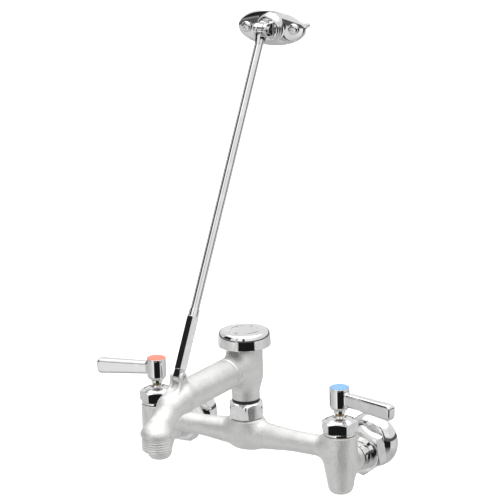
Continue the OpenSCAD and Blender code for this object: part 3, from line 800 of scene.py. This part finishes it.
@dataclass
class BreakerBody:
    """The column with the vacuum breaker body and the side boss that takes the spout."""

    places: Places
    column_r: float = 13.3
    body_r: float = 17.0
    base: float = 46.0
    base_edge: float = 0.8
    height_over_spout: float = 18.0
    top_edge: float = 1.2
    mouth_edge: float = 1.6
    fillet: float = 9.0
    socket_r: float = 12.2
    socket_length: float = 8.0
    spigot_r: float = 9.7
    spigot_foot: float = 19.3
    spigot_lap: float = 2.0
    column_bore: float = 6.4
    chamber_r: float = 13.4
    chamber_drop: float = 16.0
    side_bore: float = 9.6
    step: float = 0.8

    def distance(self, x: Array, y: Array, z: Array) -> Array:
        """Signed distance of the breaker body.

        Args:
            x: places across.
            y: places out of the wall, falling towards the front.
            z: heights.

        Returns:
            Distances, negative inside.
        """
        spout_z = self.places.spout_z
        out = y + self.places.reach
        column = np.hypot(x, out)
        at, radius = self.run
        body = soft_max(column - np.interp(z, at, radius), z - spout_z - self.height_over_spout, self.top_edge)
        body = soft_max(body, self.base - z, self.base_edge)
        tube = np.hypot(x, z - spout_z)
        boss = soft_max(tube - TUBE_R, -JOINT_OUT - out, self.mouth_edge)
        boss = np.maximum(boss, out)
        shape = soft_min(body, boss, self.fillet)
        socket = np.maximum(tube - self.socket_r, np.maximum(-JOINT_OUT - self.socket_length - out, out))
        spigot = np.maximum(self.spigot_foot - z, z - self.base - self.spigot_lap)
        spigot = np.maximum(column - self.spigot_r, spigot)
        shape = np.minimum(shape, np.minimum(socket, spigot))
        chamber = np.maximum(column - self.chamber_r, spout_z - self.chamber_drop - z)
        cuts = np.minimum(column - self.column_bore, chamber)
        cuts = np.minimum(cuts, np.maximum(tube - self.side_bore, out))
        return np.maximum(shape, -cuts)

    def build(self, paint: Paintbox) -> bpy.types.Object:
        """Mesh, dress and place the breaker body.

        Args:
            paint: the finishes.

        Returns:
            The piece.
        """
        spout_z, reach = self.places.spout_z, self.places.reach
        column_r, body_r = self.column_r, self.body_r
        self.run = soft_profile(
            [(40, column_r), (spout_z - 25, column_r), (spout_z - 12, body_r), (spout_z + 24, body_r)], 4.0
        )
        low = (-body_r, -reach - JOINT_OUT - self.socket_length, self.spigot_foot)
        high = (body_r, -reach + body_r, spout_z + self.height_over_spout)
        piece = make_piece("breaker_casting", *NetMesher(self.distance, low, high, self.step).build())
        paint.dress(piece, Slot.ROUGH_CHROME)
        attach(piece, "spout")
        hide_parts("breaker_body")
        return piece


@dataclass
class TurnMark:
    """A small raised arrow on the side boss that shows the way the spout is screwed in."""

    places: Places
    out: float = 29.0
    angle: float = -3.0
    size: float = 5.2
    rise: float = 0.35
    root: float = -0.3
    slope: float = 0.86
    sharp: float = 25.0
    outline: tuple[tuple[float, float], ...] = (
        (0.0, 1.0), (-0.62, -0.15), (-0.2, -0.15), (-0.2, -0.9), (0.2, -0.9), (0.2, -0.15), (0.62, -0.15),
    )

    def build(self, paint: Paintbox) -> bpy.types.Object:
        """Make the arrow as a thin plate bent over the boss.

        Args:
            paint: the finishes.

        Returns:
            The piece.
        """
        points = []
        for lift, share in ((self.root, 1.0), (self.rise, self.slope)):
            radius = TUBE_R + lift
            for u, v in self.outline:
                turn = math.radians(self.angle) + v * share * self.size * 0.5 / TUBE_R
                y = -self.places.reach - self.out - u * share * self.size * 0.5
                points.append((radius * math.cos(turn), y, self.places.spout_z + radius * math.sin(turn)))
        count = len(self.outline)
        faces = [list(range(count - 1, -1, -1)), list(range(count, 2 * count))]
        for i in range(count):
            j = (i + 1) % count
            faces.append([i, j, count + j, count + i])
        piece = make_piece("turn_mark", np.array(points), faces)
        piece.data.set_sharp_from_angle(angle=math.radians(self.sharp))
        paint.dress(piece, Slot.ROUGH_CHROME)
        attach(piece, "spout")
        return piece


@dataclass
class SpoutTube:
    """The spout with its bend, the two ears of the clevis and the hose thread.

    Each row of a bend is a centre of its legs: how far it is short of the outlet, its height over the centre line, and
    the radius there.
    """

    places: Places
    joint_edge: float = 1.6
    socket_r: float = 12.22
    socket_length: float = 8.0
    bore_r: float = 10.4
    outlet_bore_r: float = 9.6
    bend_r: float = 21.0
    bend: tuple[tuple[float, float, float], ...] = (
        (40.0, 0.0, 14.4), (24.0, -3.4, 11.2), (14.0, -10.8, 9.4), (5.0, -15.5, 10.6),
    )
    bore_bend: tuple[tuple[float, float, float], ...] = (
        (44.0, 0.0, 10.4), (24.0, -3.4, 7.0), (14.0, -10.8, 5.8), (3.0, -18.0, 6.2),
    )
    bend_fillets: tuple[float, float, float] = (6.0, 4.0, 3.0)
    straight_lap: float = 3.0
    straight_edge: float = 4.0
    bore_lap: float = 4.0
    outlet_depth: float = 4.0
    collar_over: float = 11.4
    collar_under: float = 1.2
    collar_edge: float = 1.0
    collar_fillet: float = 5.0
    ear_r: float = 5.0
    ear_gap: float = 6.4
    ear_t: float = 3.0
    ear_foot: float = 8.0
    ear_flare: float = 0.05
    ear_edge: float = 0.9
    ear_fillet: float = 2.4
    thread_r: float = 13.49
    thread_depth: float = 0.95
    thread_gap: float = 0.9
    flank: float = 1.6
    root_flat: float = 0.3
    run_out: float = 1.4
    lead_in: float = 1.1
    chamfer: float = 0.9
    mouth_edge: float = 0.5
    pitch: float = 2.209
    thread_around: int = 112
    thread_rows: int = 96
    thread_sharp: float = 40.0
    bore_rows: int = 5
    bore_start: float = 3.0
    step: float = 0.8

    @staticmethod
    def cone(across: Array, along: Array, height: Array, a: Sequence[float], b: Sequence[float]) -> Array:
        """Signed distance of a round leg whose radius changes from one centre to the next.

        Args:
            across: places across the spout's plane.
            along: distances from the column.
            height: heights over the spout's centre line.
            a: distance, height and radius at the start.
            b: distance, height and radius at the end.

        Returns:
            Distances, negative inside.
        """
        step, rise = b[0] - a[0], b[1] - a[1]
        share = ((along - a[0]) * step + (height - a[1]) * rise) / (step * step + rise * rise)
        share = np.clip(share, 0.0, 1.0)
        off = np.hypot(along - a[0] - share * step, height - a[1] - share * rise)
        return np.hypot(across, off) - (a[2] + (b[2] - a[2]) * share)

    def legs(self, bend: Sequence, reach: float, x: Array, run: Array, high: Array) -> list[Array]:
        """Signed distances of the legs that join the centres of a bend."""
        centres = [(reach - back, up, radius) for back, up, radius in bend]
        return [self.cone(x, run, high, a, b) for a, b in zip(centres, centres[1:])]

    def distance(self, x: Array, y: Array, z: Array) -> Array:
        """Signed distance of the spout without its thread.

        Args:
            x: places across.
            y: places out of the wall, falling towards the front.
            z: heights.

        Returns:
            Distances, negative inside.
        """
        spout_z = self.places.spout_z
        run = -(y + self.places.reach)
        reach = -self.places.outlet_y - self.places.reach
        shoulder = spout_z - self.bend_r
        high = z - spout_z
        line = np.hypot(x, high)
        legs = self.legs(self.bend, reach, x, run, high)
        hollow = self.legs(self.bore_bend, reach, x, run, high)
        taper = reach - self.bend[0][0]
        first, second, third = self.bend_fillets
        straight = soft_max(line - TUBE_R, run - taper - self.straight_lap, self.straight_edge)
        straight = soft_max(straight, JOINT_OUT - run, self.joint_edge)
        neck = soft_min(soft_min(legs[0], legs[1], first), legs[2], second)
        tube = soft_min(straight, neck, third)
        outlet = np.hypot(x, run - reach)
        at, radius = self.collar
        collar = soft_max(outlet - np.interp(z, at, radius), z - shoulder - self.collar_over, self.collar_fillet)
        tube = soft_min(tube, collar, self.collar_fillet)
        tube = soft_max(tube, shoulder - self.collar_under - z, self.collar_edge)
        pin_y, pin_z = self.places.ear_pin
        along, above = y - pin_y, z - pin_z
        head = np.hypot(along, np.maximum(above, 0.0)) - self.ear_r
        shank = np.abs(along) - (self.ear_r + self.ear_flare * np.minimum(above, 0.0) ** 2)
        outline = np.where(above > 0, head, np.maximum(shank, spout_z + self.ear_foot - z))
        sheet = np.abs(np.abs(x) - (self.ear_gap + self.ear_t) / 2) - self.ear_t / 2
        tube = soft_min(tube, soft_max(outline, sheet, self.ear_edge), self.ear_fillet)
        bore = np.maximum(JOINT_OUT - self.bore_lap - run, run - taper + self.bore_lap)
        bore = np.maximum(line - self.bore_r, bore)
        outlet_bore = np.maximum(outlet - self.outlet_bore_r, z - shoulder - self.outlet_depth)
        socket = np.maximum(line - self.socket_r, run - JOINT_OUT - self.socket_length)
        for cut in (*hollow, outlet_bore, socket, np.hypot(along, above) - PIN_HOLE_R):
            bore = np.minimum(bore, cut)
        return np.maximum(tube, -bore)

    def thread(self) -> tuple[Array, list[list[int]]]:
        """The hose thread as one closed shell with its bore.

        Returns:
            Vertices and faces.
        """
        top, end = self.places.spout_z - self.bend_r - self.thread_gap, self.places.outlet_end
        around, bore_r = self.thread_around, self.outlet_bore_r
        heights = np.linspace(top, end, self.thread_rows)
        turns = np.linspace(0, FULL_TURN, around, endpoint=False)
        h, t = np.meshgrid(heights, turns, indexing="ij")
        phase = np.mod(h / self.pitch + t / FULL_TURN, 1.0)
        ridge = np.clip(self.flank * (1 - np.abs(2 * phase - 1)) - self.root_flat, 0.0, 1.0)
        fade = np.clip((top - self.thread_gap - h) / self.run_out, 0.0, 1.0)
        fade = fade * np.clip((h - end) / self.lead_in, 0.0, 1.0)
        radius = self.thread_r - self.thread_depth * (1 - ridge * fade)
        radius = np.minimum(radius, self.thread_r - self.chamfer + (h - end))
        rings = list(zip(heights, radius))
        rings += [(end, bore_r + self.mouth_edge), (end + self.mouth_edge, bore_r)]
        rings += [(z, bore_r) for z in np.linspace(end + self.bore_start, top, self.bore_rows)]
        centre = self.places.outlet_y
        points = np.concatenate(
            [np.stack([r * np.cos(turns), centre + r * np.sin(turns), np.full(around, z)], 1) for z, r in rings]
        )
        return points, ring_faces(len(rings), around)

    def build(self, paint: Paintbox) -> bpy.types.Object:
        """Mesh, dress and place the spout and its thread.

        Args:
            paint: the finishes.

        Returns:
            The spout, without its thread.
        """
        base = self.places.spout_z - self.bend_r
        profile = [(-5, 0.0), (1, 0.0), (4, 1.2), (8, 4.4), (12, 9.6)]
        self.collar = soft_profile([(base + up, TUBE_R - inset) for up, inset in profile], 1.6)
        low = (-TUBE_R, self.places.outlet_y - TUBE_R, base - self.collar_under)
        high = (TUBE_R, -self.places.reach - JOINT_OUT, self.places.ear_pin[1] + self.ear_r)
        piece = make_piece("spout_casting", *NetMesher(self.distance, low, high, self.step).build())
        paint.dress(piece, Slot.ROUGH_CHROME)
        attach(piece, "spout")
        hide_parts("spout_tube")
        thread = make_piece("hose_thread", *self.thread())
        thread.data.set_sharp_from_angle(angle=math.radians(self.thread_sharp))
        paint.dress(thread, Slot.ROUGH_CHROME)
        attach(thread, "spout")
        return piece


@dataclass
class Lever:
    """A lever handle: a round hub with its neck and a flat blade that grows towards a rounded tip."""

    places: Places
    side: Side
    neck_z: float = 46.9
    hub_z: float = 50.1
    hub_r: float = 9.4
    reach: float = 63.0
    thick: float = 10.0
    tall: float = 15.0
    root_thick: float = 7.6
    root_tall: float = 12.4
    droop: float = 2.2
    ahead: float = 11.0
    corner: float = 5.2
    rounding: float = 3.4
    end_round: float = 2.6
    rim_drop: float = 1.2
    lip: float = 0.56
    neck_r: float = 5.6
    blade_rise: float = 0.6
    blade_start: float = 2.0
    fillet: float = 2.0
    button_bore: float = 4.3
    button_floor: float = 63.2
    stem_bore: float = 4.02
    stem_end: float = 53.4
    rim_around: int = 96
    rim_sharp: float = 50.0
    room: float = 10.0
    front_room: float = 22.0
    step: float = 0.6

    def rim(self) -> bpy.types.Object:
        """Make the turned lip round the index button, as one closed ring.

        Returns:
            The ring.
        """
        r, top = self.hub_r, self.places.hub_top
        low, inner = top - self.rim_drop, self.hub_r - self.lip
        flat = top - 0.04
        profile = [(r, low), (r, top - 0.45), (r - 0.06, top - 0.2), (r - 0.22, flat), (inner, flat), (inner, low)]
        turns = np.linspace(0, FULL_TURN, self.rim_around, endpoint=False)
        cx, cy = self.side.value * self.places.half, -self.places.reach
        points = np.array([(cx + a * math.cos(t), cy + a * math.sin(t), z) for a, z in profile for t in turns])
        faces = [[face[0], *face[:0:-1]] for face in ring_faces(len(profile), len(turns))]
        ring = make_piece(f"{self.side.word}_hub_rim", points, faces)
        ring.data.set_sharp_from_angle(angle=math.radians(self.rim_sharp))
        return ring

    def blade(self, u: Array, v: Array, w: Array) -> Array:
        """Signed distance of the blade.

        Args:
            u: places along the blade.
            v: places across it.
            w: heights on it.

        Returns:
            Distances, negative inside.
        """
        flat = self.reach - self.end_round
        share = np.clip(u / flat, 0.0, 1.0)
        side = np.abs(v) - (self.root_thick + (self.thick - self.root_thick) * share) / 2
        aside = np.maximum(np.abs(v) - (self.thick / 2 - self.end_round), 0.0)
        side = np.where(u > flat, np.hypot(u - flat, aside) - self.end_round, side)
        corner = self.corner
        tip = self.reach - corner
        tall = (self.root_tall + (self.tall - self.root_tall) * np.clip(u / tip, 0.0, 1.0)) / 2
        over = np.maximum(np.abs(w) - (self.tall / 2 - corner), 0.0)
        edge = np.where(u > tip, np.hypot(u - tip, over) - corner, np.abs(w) - tall)
        return np.maximum(soft_max(side, edge, self.rounding), self.blade_start - u)

    def distance(self, x: Array, y: Array, z: Array) -> Array:
        """Signed distance of the lever.

        Args:
            x: places across.
            y: places out of the wall, falling towards the front.
            z: heights.

        Returns:
            Distances, negative inside.
        """
        dx, dy = x - self.side.value * self.places.half, y + self.places.reach
        turn = math.radians(-self.ahead if self.side is Side.COLD else 180 + self.ahead)
        u = dx * math.cos(turn) + dy * math.sin(turn)
        v = -dx * math.sin(turn) + dy * math.cos(turn)
        middle = (self.hub_z + self.places.hub_top) / 2 + self.blade_rise
        fall = math.radians(self.droop)
        along = u * math.cos(fall) - (z - middle) * math.sin(fall)
        up = u * math.sin(fall) + (z - middle) * math.cos(fall)
        ring = np.hypot(dx, dy)
        at, radius = self.run
        top = self.places.hub_top
        hub = np.maximum(ring - np.interp(z, at, radius), z - top + self.rim_drop)
        hub = np.maximum(hub, self.neck_z - z)
        shape = soft_min(hub, self.blade(along, v, up), self.fillet)
        cuts = np.maximum(ring - self.button_bore, self.button_floor - z)
        cuts = np.minimum(cuts, np.maximum(ring - self.stem_bore, z - self.stem_end))
        return np.maximum(shape, -cuts)

    def build(self, paint: Paintbox) -> bpy.types.Object:
        """Mesh, dress and place the lever and its rim.

        Args:
            paint: the finishes.

        Returns:
            The lever, without its rim.
        """
        z, neck_r, hub_r = self.hub_z, self.neck_r, self.hub_r
        self.run = (
            np.array([40.0, z - 0.4, z + 0.5, z + 1.8, z + 3.2, 90.0]),
            np.array([neck_r, neck_r, neck_r + 1.8, hub_r - 0.5, hub_r, hub_r]),
        )
        cx, cy = self.side.value * self.places.half, -self.places.reach
        tip = self.side.value * self.reach
        low = (min(cx, cx + tip) - self.room, cy - self.front_room, self.neck_z)
        high = (max(cx, cx + tip) + self.room, cy + self.room, self.places.hub_top)
        piece = make_piece(f"{self.side.word}_handle", *NetMesher(self.distance, low, high, self.step).build())
        paint.dress(piece, Slot.POLISHED_CHROME)
        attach(piece, f"{self.side.word}_handle")
        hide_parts(f"{self.side.word}_lever")
        rim = self.rim()
        paint.dress(rim, Slot.POLISHED_CHROME)
        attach(rim, f"{self.side.word}_handle")
        return piece


@dataclass
class WallBracket:
    """The oval wall plate, domed, with a round boss and two lugs for the brace."""

    places: Places
    width: float = 73.0
    height: float = 34.0
    rim: float = 3.0
    rim_edge: float = 2.2
    crown: float = 5.4
    dome_power: int = 4
    boss_r: float = 12.5
    boss_out: float = 11.0
    boss_edge: float = 3.0
    boss_fillet: float = 3.2
    eye_out: float = 19.0
    lug_r: float = 6.4
    lug_t: float = 4.0
    lug_gap: float = 5.6
    lug_root: float = 4.0
    lug_edge: float = 1.0
    lug_fillet: float = 1.6
    screw_span: float = 50.8
    screw_hole_r: float = 2.5
    step: float = 0.55

    def distance(self, x: Array, y: Array, z: Array) -> Array:
        """Signed distance of the bracket.

        Args:
            x: places across.
            y: places out of the wall, falling towards the front.
            z: heights.

        Returns:
            Distances, negative inside.
        """
        up, out = z - self.places.bracket_z, -y
        a, b = self.width / 2, self.height / 2
        share = np.hypot(x / a, up / b)
        slope = np.maximum(np.hypot(x / a**2, up / b**2), 1e-4)
        oval = (share - 1) * np.maximum(share, 0.3) / slope
        surface = self.rim + (self.crown - self.rim) * (1 - np.clip(share, 0, 1) ** self.dome_power)
        plate = soft_max(oval, out - surface, self.rim_edge)
        plate = np.maximum(plate, -out)
        disc = np.hypot(x, up)
        boss = soft_max(disc - self.boss_r, out - self.boss_out, self.boss_edge)
        boss = np.maximum(boss, -out)
        shape = soft_min(plate, boss, self.boss_fillet)
        over = np.maximum(out - self.eye_out, 0.0)
        eye = np.hypot(over, up) - self.lug_r
        eye = np.maximum(eye, self.lug_root - out)
        sheet = np.abs(np.abs(x) - (self.lug_gap + self.lug_t) / 2) - self.lug_t / 2
        shape = soft_min(shape, soft_max(eye, sheet, self.lug_edge), self.lug_fillet)
        screws = np.hypot(np.abs(x) - self.screw_span / 2, up) - self.screw_hole_r
        pin = np.hypot(out - self.eye_out, up) - PIN_HOLE_R
        return np.maximum(shape, -np.minimum(screws, pin))

    def build(self, paint: Paintbox) -> bpy.types.Object:
        """Mesh, dress and place the bracket.

        Args:
            paint: the finishes.

        Returns:
            The piece.
        """
        mid = self.places.bracket_z
        low = (-self.width / 2, -self.eye_out - self.lug_r, mid - self.height / 2)
        high = (self.width / 2, 0.0, mid + self.height / 2)
        piece = make_piece("bracket_plate", *NetMesher(self.distance, low, high, self.step).build())
        paint.dress(piece, Slot.POLISHED_CHROME)
        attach(piece, "bracket")
        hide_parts("wall_bracket")
        return piece


@dataclass
class TurnedPieces:
    """The nodes whose own shape is right: nuts, bonnets, flanges, rods, discs and seals."""

    edge: float = 0.22
    edge_share: float = 0.02
    sharp: float = 28.0
    weld: float = 0.002
    flat_weight: int = 100

    def soften(self, node: bpy.types.Object) -> None:
        """Round a node's sharp edges and shade its curves smoothly.

        Args:
            node: the carried node.
        """
        size = max(node.dimensions)
        node.data.shade_smooth()
        weld = node.modifiers.new("weld", "WELD")
        weld.merge_threshold = self.weld * MM
        bevel = node.modifiers.new("edges", "BEVEL")
        bevel.limit_method = "ANGLE"
        bevel.angle_limit = math.radians(self.sharp)
        bevel.width = min(self.edge * MM, size * self.edge_share)
        bevel.segments = 2
        bevel.use_clamp_overlap = True
        flats = node.modifiers.new("flats", "WEIGHTED_NORMAL")
        flats.mode = "FACE_AREA"
        flats.weight = self.flat_weight

    def build(self, paint: Paintbox) -> int:
        """Dress every carried node.

        Args:
            paint: the finishes.

        Returns:
            How many nodes were dressed.
        """
        slots = {s["node"]: Slot(s["material_slot"]) for s in frame["record"]["subparts"]}
        for name, node in frame["nodes"].items():
            paint.dress_node(node, slots[name])
            self.soften(node)
        return len(frame["nodes"])


# ---------------------------------------------------------------- studio


@dataclass
class Studio:
    """Pale floor, soft light and the camera.

    The table and the middle are rings of light round the faucet: pairs of degrees, from +X towards +Y, and brightness.
    """

    focal: float = 143.67
    sensor: float = 36.0
    azimuth: float = 31.51
    elevation: float = 14.35
    roll: float = 1.52
    distance: float = 1918.3
    aim: tuple[float, float] = (8.0, 183.56)
    aim_y: float = -65.0
    floor_drop: float = 320.0
    floor_half: float = 9000.0
    floor_cells: int = 24
    ceiling: float = 1.6
    under: float = 0.5
    horizon: float = 0.10
    table: tuple[tuple[float, float], ...] = (
        (-180, 0.62), (-150, 0.60), (-135, 0.66), (-107, 0.80), (-95, 1.0), (-88, 1.05), (-86, 0.35), (-84, 0.012),
        (-16, 0.012), (-12, 0.70), (20, 0.75), (60, 0.60), (106, 0.60), (110, 0.12), (134, 0.12),
        (138, 0.90), (150, 0.90), (180, 0.62),
    )
    middle: tuple[tuple[float, float], ...] = (
        (-180, 0.60), (-166, 0.80), (-163, 0.02), (-123.8, 0.02), (-122.5, 0.80), (-70, 1.05), (-65, 0.03),
        (-58, 0.03), (-55, 0.95), (-20, 0.90), (0, 0.80), (20, 0.80), (60, 0.85), (120, 0.85), (160, 0.75), (180, 0.60),
    )

    def floor(self) -> None:
        """A wide pale floor under the faucet, with a faint grain."""
        level = CAD_BOX[0][2] / MM - self.floor_drop
        cells = self.floor_cells
        grid = np.linspace(-self.floor_half, self.floor_half, cells + 1)
        points = np.array([(x, y, level) for y in grid for x in grid])
        wide = cells + 1
        faces = [
            [j * wide + i, j * wide + i + 1, (j + 1) * wide + i + 1, (j + 1) * wide + i]
            for j in range(cells)
            for i in range(cells)
        ]
        piece = make_piece("studio_floor", points, faces)
        material, n = new_material("studio_paper")
        spot = n.add("ShaderNodeTexCoord").outputs["Object"]
        tone = n.span(n.noise(spot, 3.0, 2.0), 0.3, 0.7, 0.0, 1.0)
        colour = n.mix(tone, grey(0.90), grey(0.92))
        n.surface({"Base Color": colour, "Roughness": 0.9})
        piece.data.materials.append(material)
        piece.visible_glossy = False

    def surroundings(self) -> None:
        """A soft studio all round: pale table and ceiling light, with dark gaps and a dark horizon between them.

        The camera itself sees plain pale paper behind the floor.
        """
        world = bpy.data.worlds.new("studio")
        world.use_nodes = True
        world.node_tree.nodes.clear()
        n = Nodes(world.node_tree)
        way = n.add("ShaderNodeTexCoord").outputs["Generated"]
        parts = n.add("ShaderNodeSeparateXYZ", {0: way}).outputs
        share = n.math("ADD", n.math("DIVIDE", n.math("ARCTAN2", parts[1], parts[0]), FULL_TURN), 0.5)
        height = parts[2]
        middle_mask = n.span(height, 0.02, 0.2, 0.0, 1.0)
        colour = n.mix(middle_mask, self.ring(n, share, self.table), self.ring(n, share, self.middle))
        for place, low, high, tone in (
            (height, 0.62, 0.8, self.ceiling),
            (height, -0.4, -0.75, self.under),
            (n.math("ABSOLUTE", height), 0.11, 0.08, self.horizon),
        ):
            colour = n.mix(n.span(place, low, high, 0.0, 1.0), colour, grey(tone))
        studio = n.add("ShaderNodeBackground", {"Color": colour, "Strength": 1.0})
        paper = n.add("ShaderNodeBackground", {"Color": (1, 1, 1, 1), "Strength": 1.0})
        seen = n.add("ShaderNodeLightPath").outputs["Is Camera Ray"]
        mix = n.add("ShaderNodeMixShader", {0: seen, 1: studio.outputs[0], 2: paper.outputs[0]})
        n.add("ShaderNodeOutputWorld", {"Surface": mix.outputs[0]})
        bpy.context.scene.world = world

    @staticmethod
    def ring(n: Nodes, share: bpy.types.NodeSocket, stops: Sequence[tuple[float, float]]) -> bpy.types.NodeSocket:
        """Turn stops round the horizon into a ramp.

        Args:
            n: builder of the world's tree.
            share: share of a turn, from -180 degrees.
            stops: pairs of degrees, from +X towards +Y, and brightness.

        Returns:
            The ramp's colour.
        """
        ramp = n.add("ShaderNodeValToRGB", {0: share})
        elements = ramp.color_ramp.elements
        elements[0].position, elements[1].position = 0.0, 1.0
        elements[0].color = (*grey(stops[0][1]), 1)
        elements[1].color = (*grey(stops[-1][1]), 1)
        for place, value in stops[1:-1]:
            elements.new(place / 360 + 0.5).color = (*grey(value), 1)
        return ramp.outputs[0]

    def lamps(self) -> None:
        """Soft light from overhead, even over the whole floor and left out of the reflections."""
        for name, way, spread, power in (
            ("key", (0.5, 0.45, -1.0), 70.0, 1.1),
            ("fill", (-0.6, 0.5, -1.0), 90.0, 0.7),
        ):
            lamp = bpy.data.lights.new(name, "SUN")
            lamp.angle = math.radians(spread)
            lamp.energy = power
            holder = bpy.data.objects.new(name, lamp)
            holder.rotation_euler = Vector(way).to_track_quat("-Z", "Y").to_euler()
            holder.visible_glossy = False
            bpy.context.scene.collection.objects.link(holder)

    def camera(self) -> None:
        """The camera, seen from the front right and a little above."""
        a, e, r = (math.radians(v) for v in (self.azimuth, self.elevation, self.roll))
        away = Vector((math.sin(a) * math.cos(e), -math.cos(a) * math.cos(e), math.sin(e)))
        right = Vector((math.cos(a), math.sin(a), 0.0))
        up = away.cross(right)
        aim = Vector((0.0, self.aim_y, 0.0)) + right * self.aim[0] + up * self.aim[1]
        place = (aim + away * self.distance) * MM
        right, up = right * math.cos(r) - up * math.sin(r), right * math.sin(r) + up * math.cos(r)
        data = bpy.data.cameras.new("camera")
        data.sensor_width = self.sensor
        data.lens = self.focal
        data.clip_start, data.clip_end = 0.01, 50.0
        holder = bpy.data.objects.new("camera", data)
        holder.matrix_world = Matrix(
            (
                (right.x, up.x, away.x, place.x),
                (right.y, up.y, away.y, place.y),
                (right.z, up.z, away.z, place.z),
                (0, 0, 0, 1),
            )
        )
        bpy.context.scene.collection.objects.link(holder)
        bpy.context.scene.camera = holder

    def build(self) -> None:
        """Set up the whole studio."""
        bpy.context.scene.view_settings.view_transform = "Standard"
        self.camera()
        self.floor()
        self.surroundings()
        self.lamps()


def main() -> None:
    """Build every sub-assembly in order and report each piece."""
    logging.basicConfig(level=logging.INFO, format="%(name)s: %(message)s")
    Studio().build()
    paint = Paintbox()
    places = Places.read()
    LOG.info("%d nodes dressed", TurnedPieces().build(paint))
    builders = [
        BodyCasting(places),
        BreakerBody(places),
        TurnMark(places),
        SpoutTube(places),
        Lever(places, Side.HOT),
        Lever(places, Side.COLD),
        WallBracket(places),
    ]
    for builder in builders:
        piece = builder.build(paint)
        LOG.info("%s: %d faces", piece.name, len(piece.data.polygons))


if __name__ == "__main__":
    main()
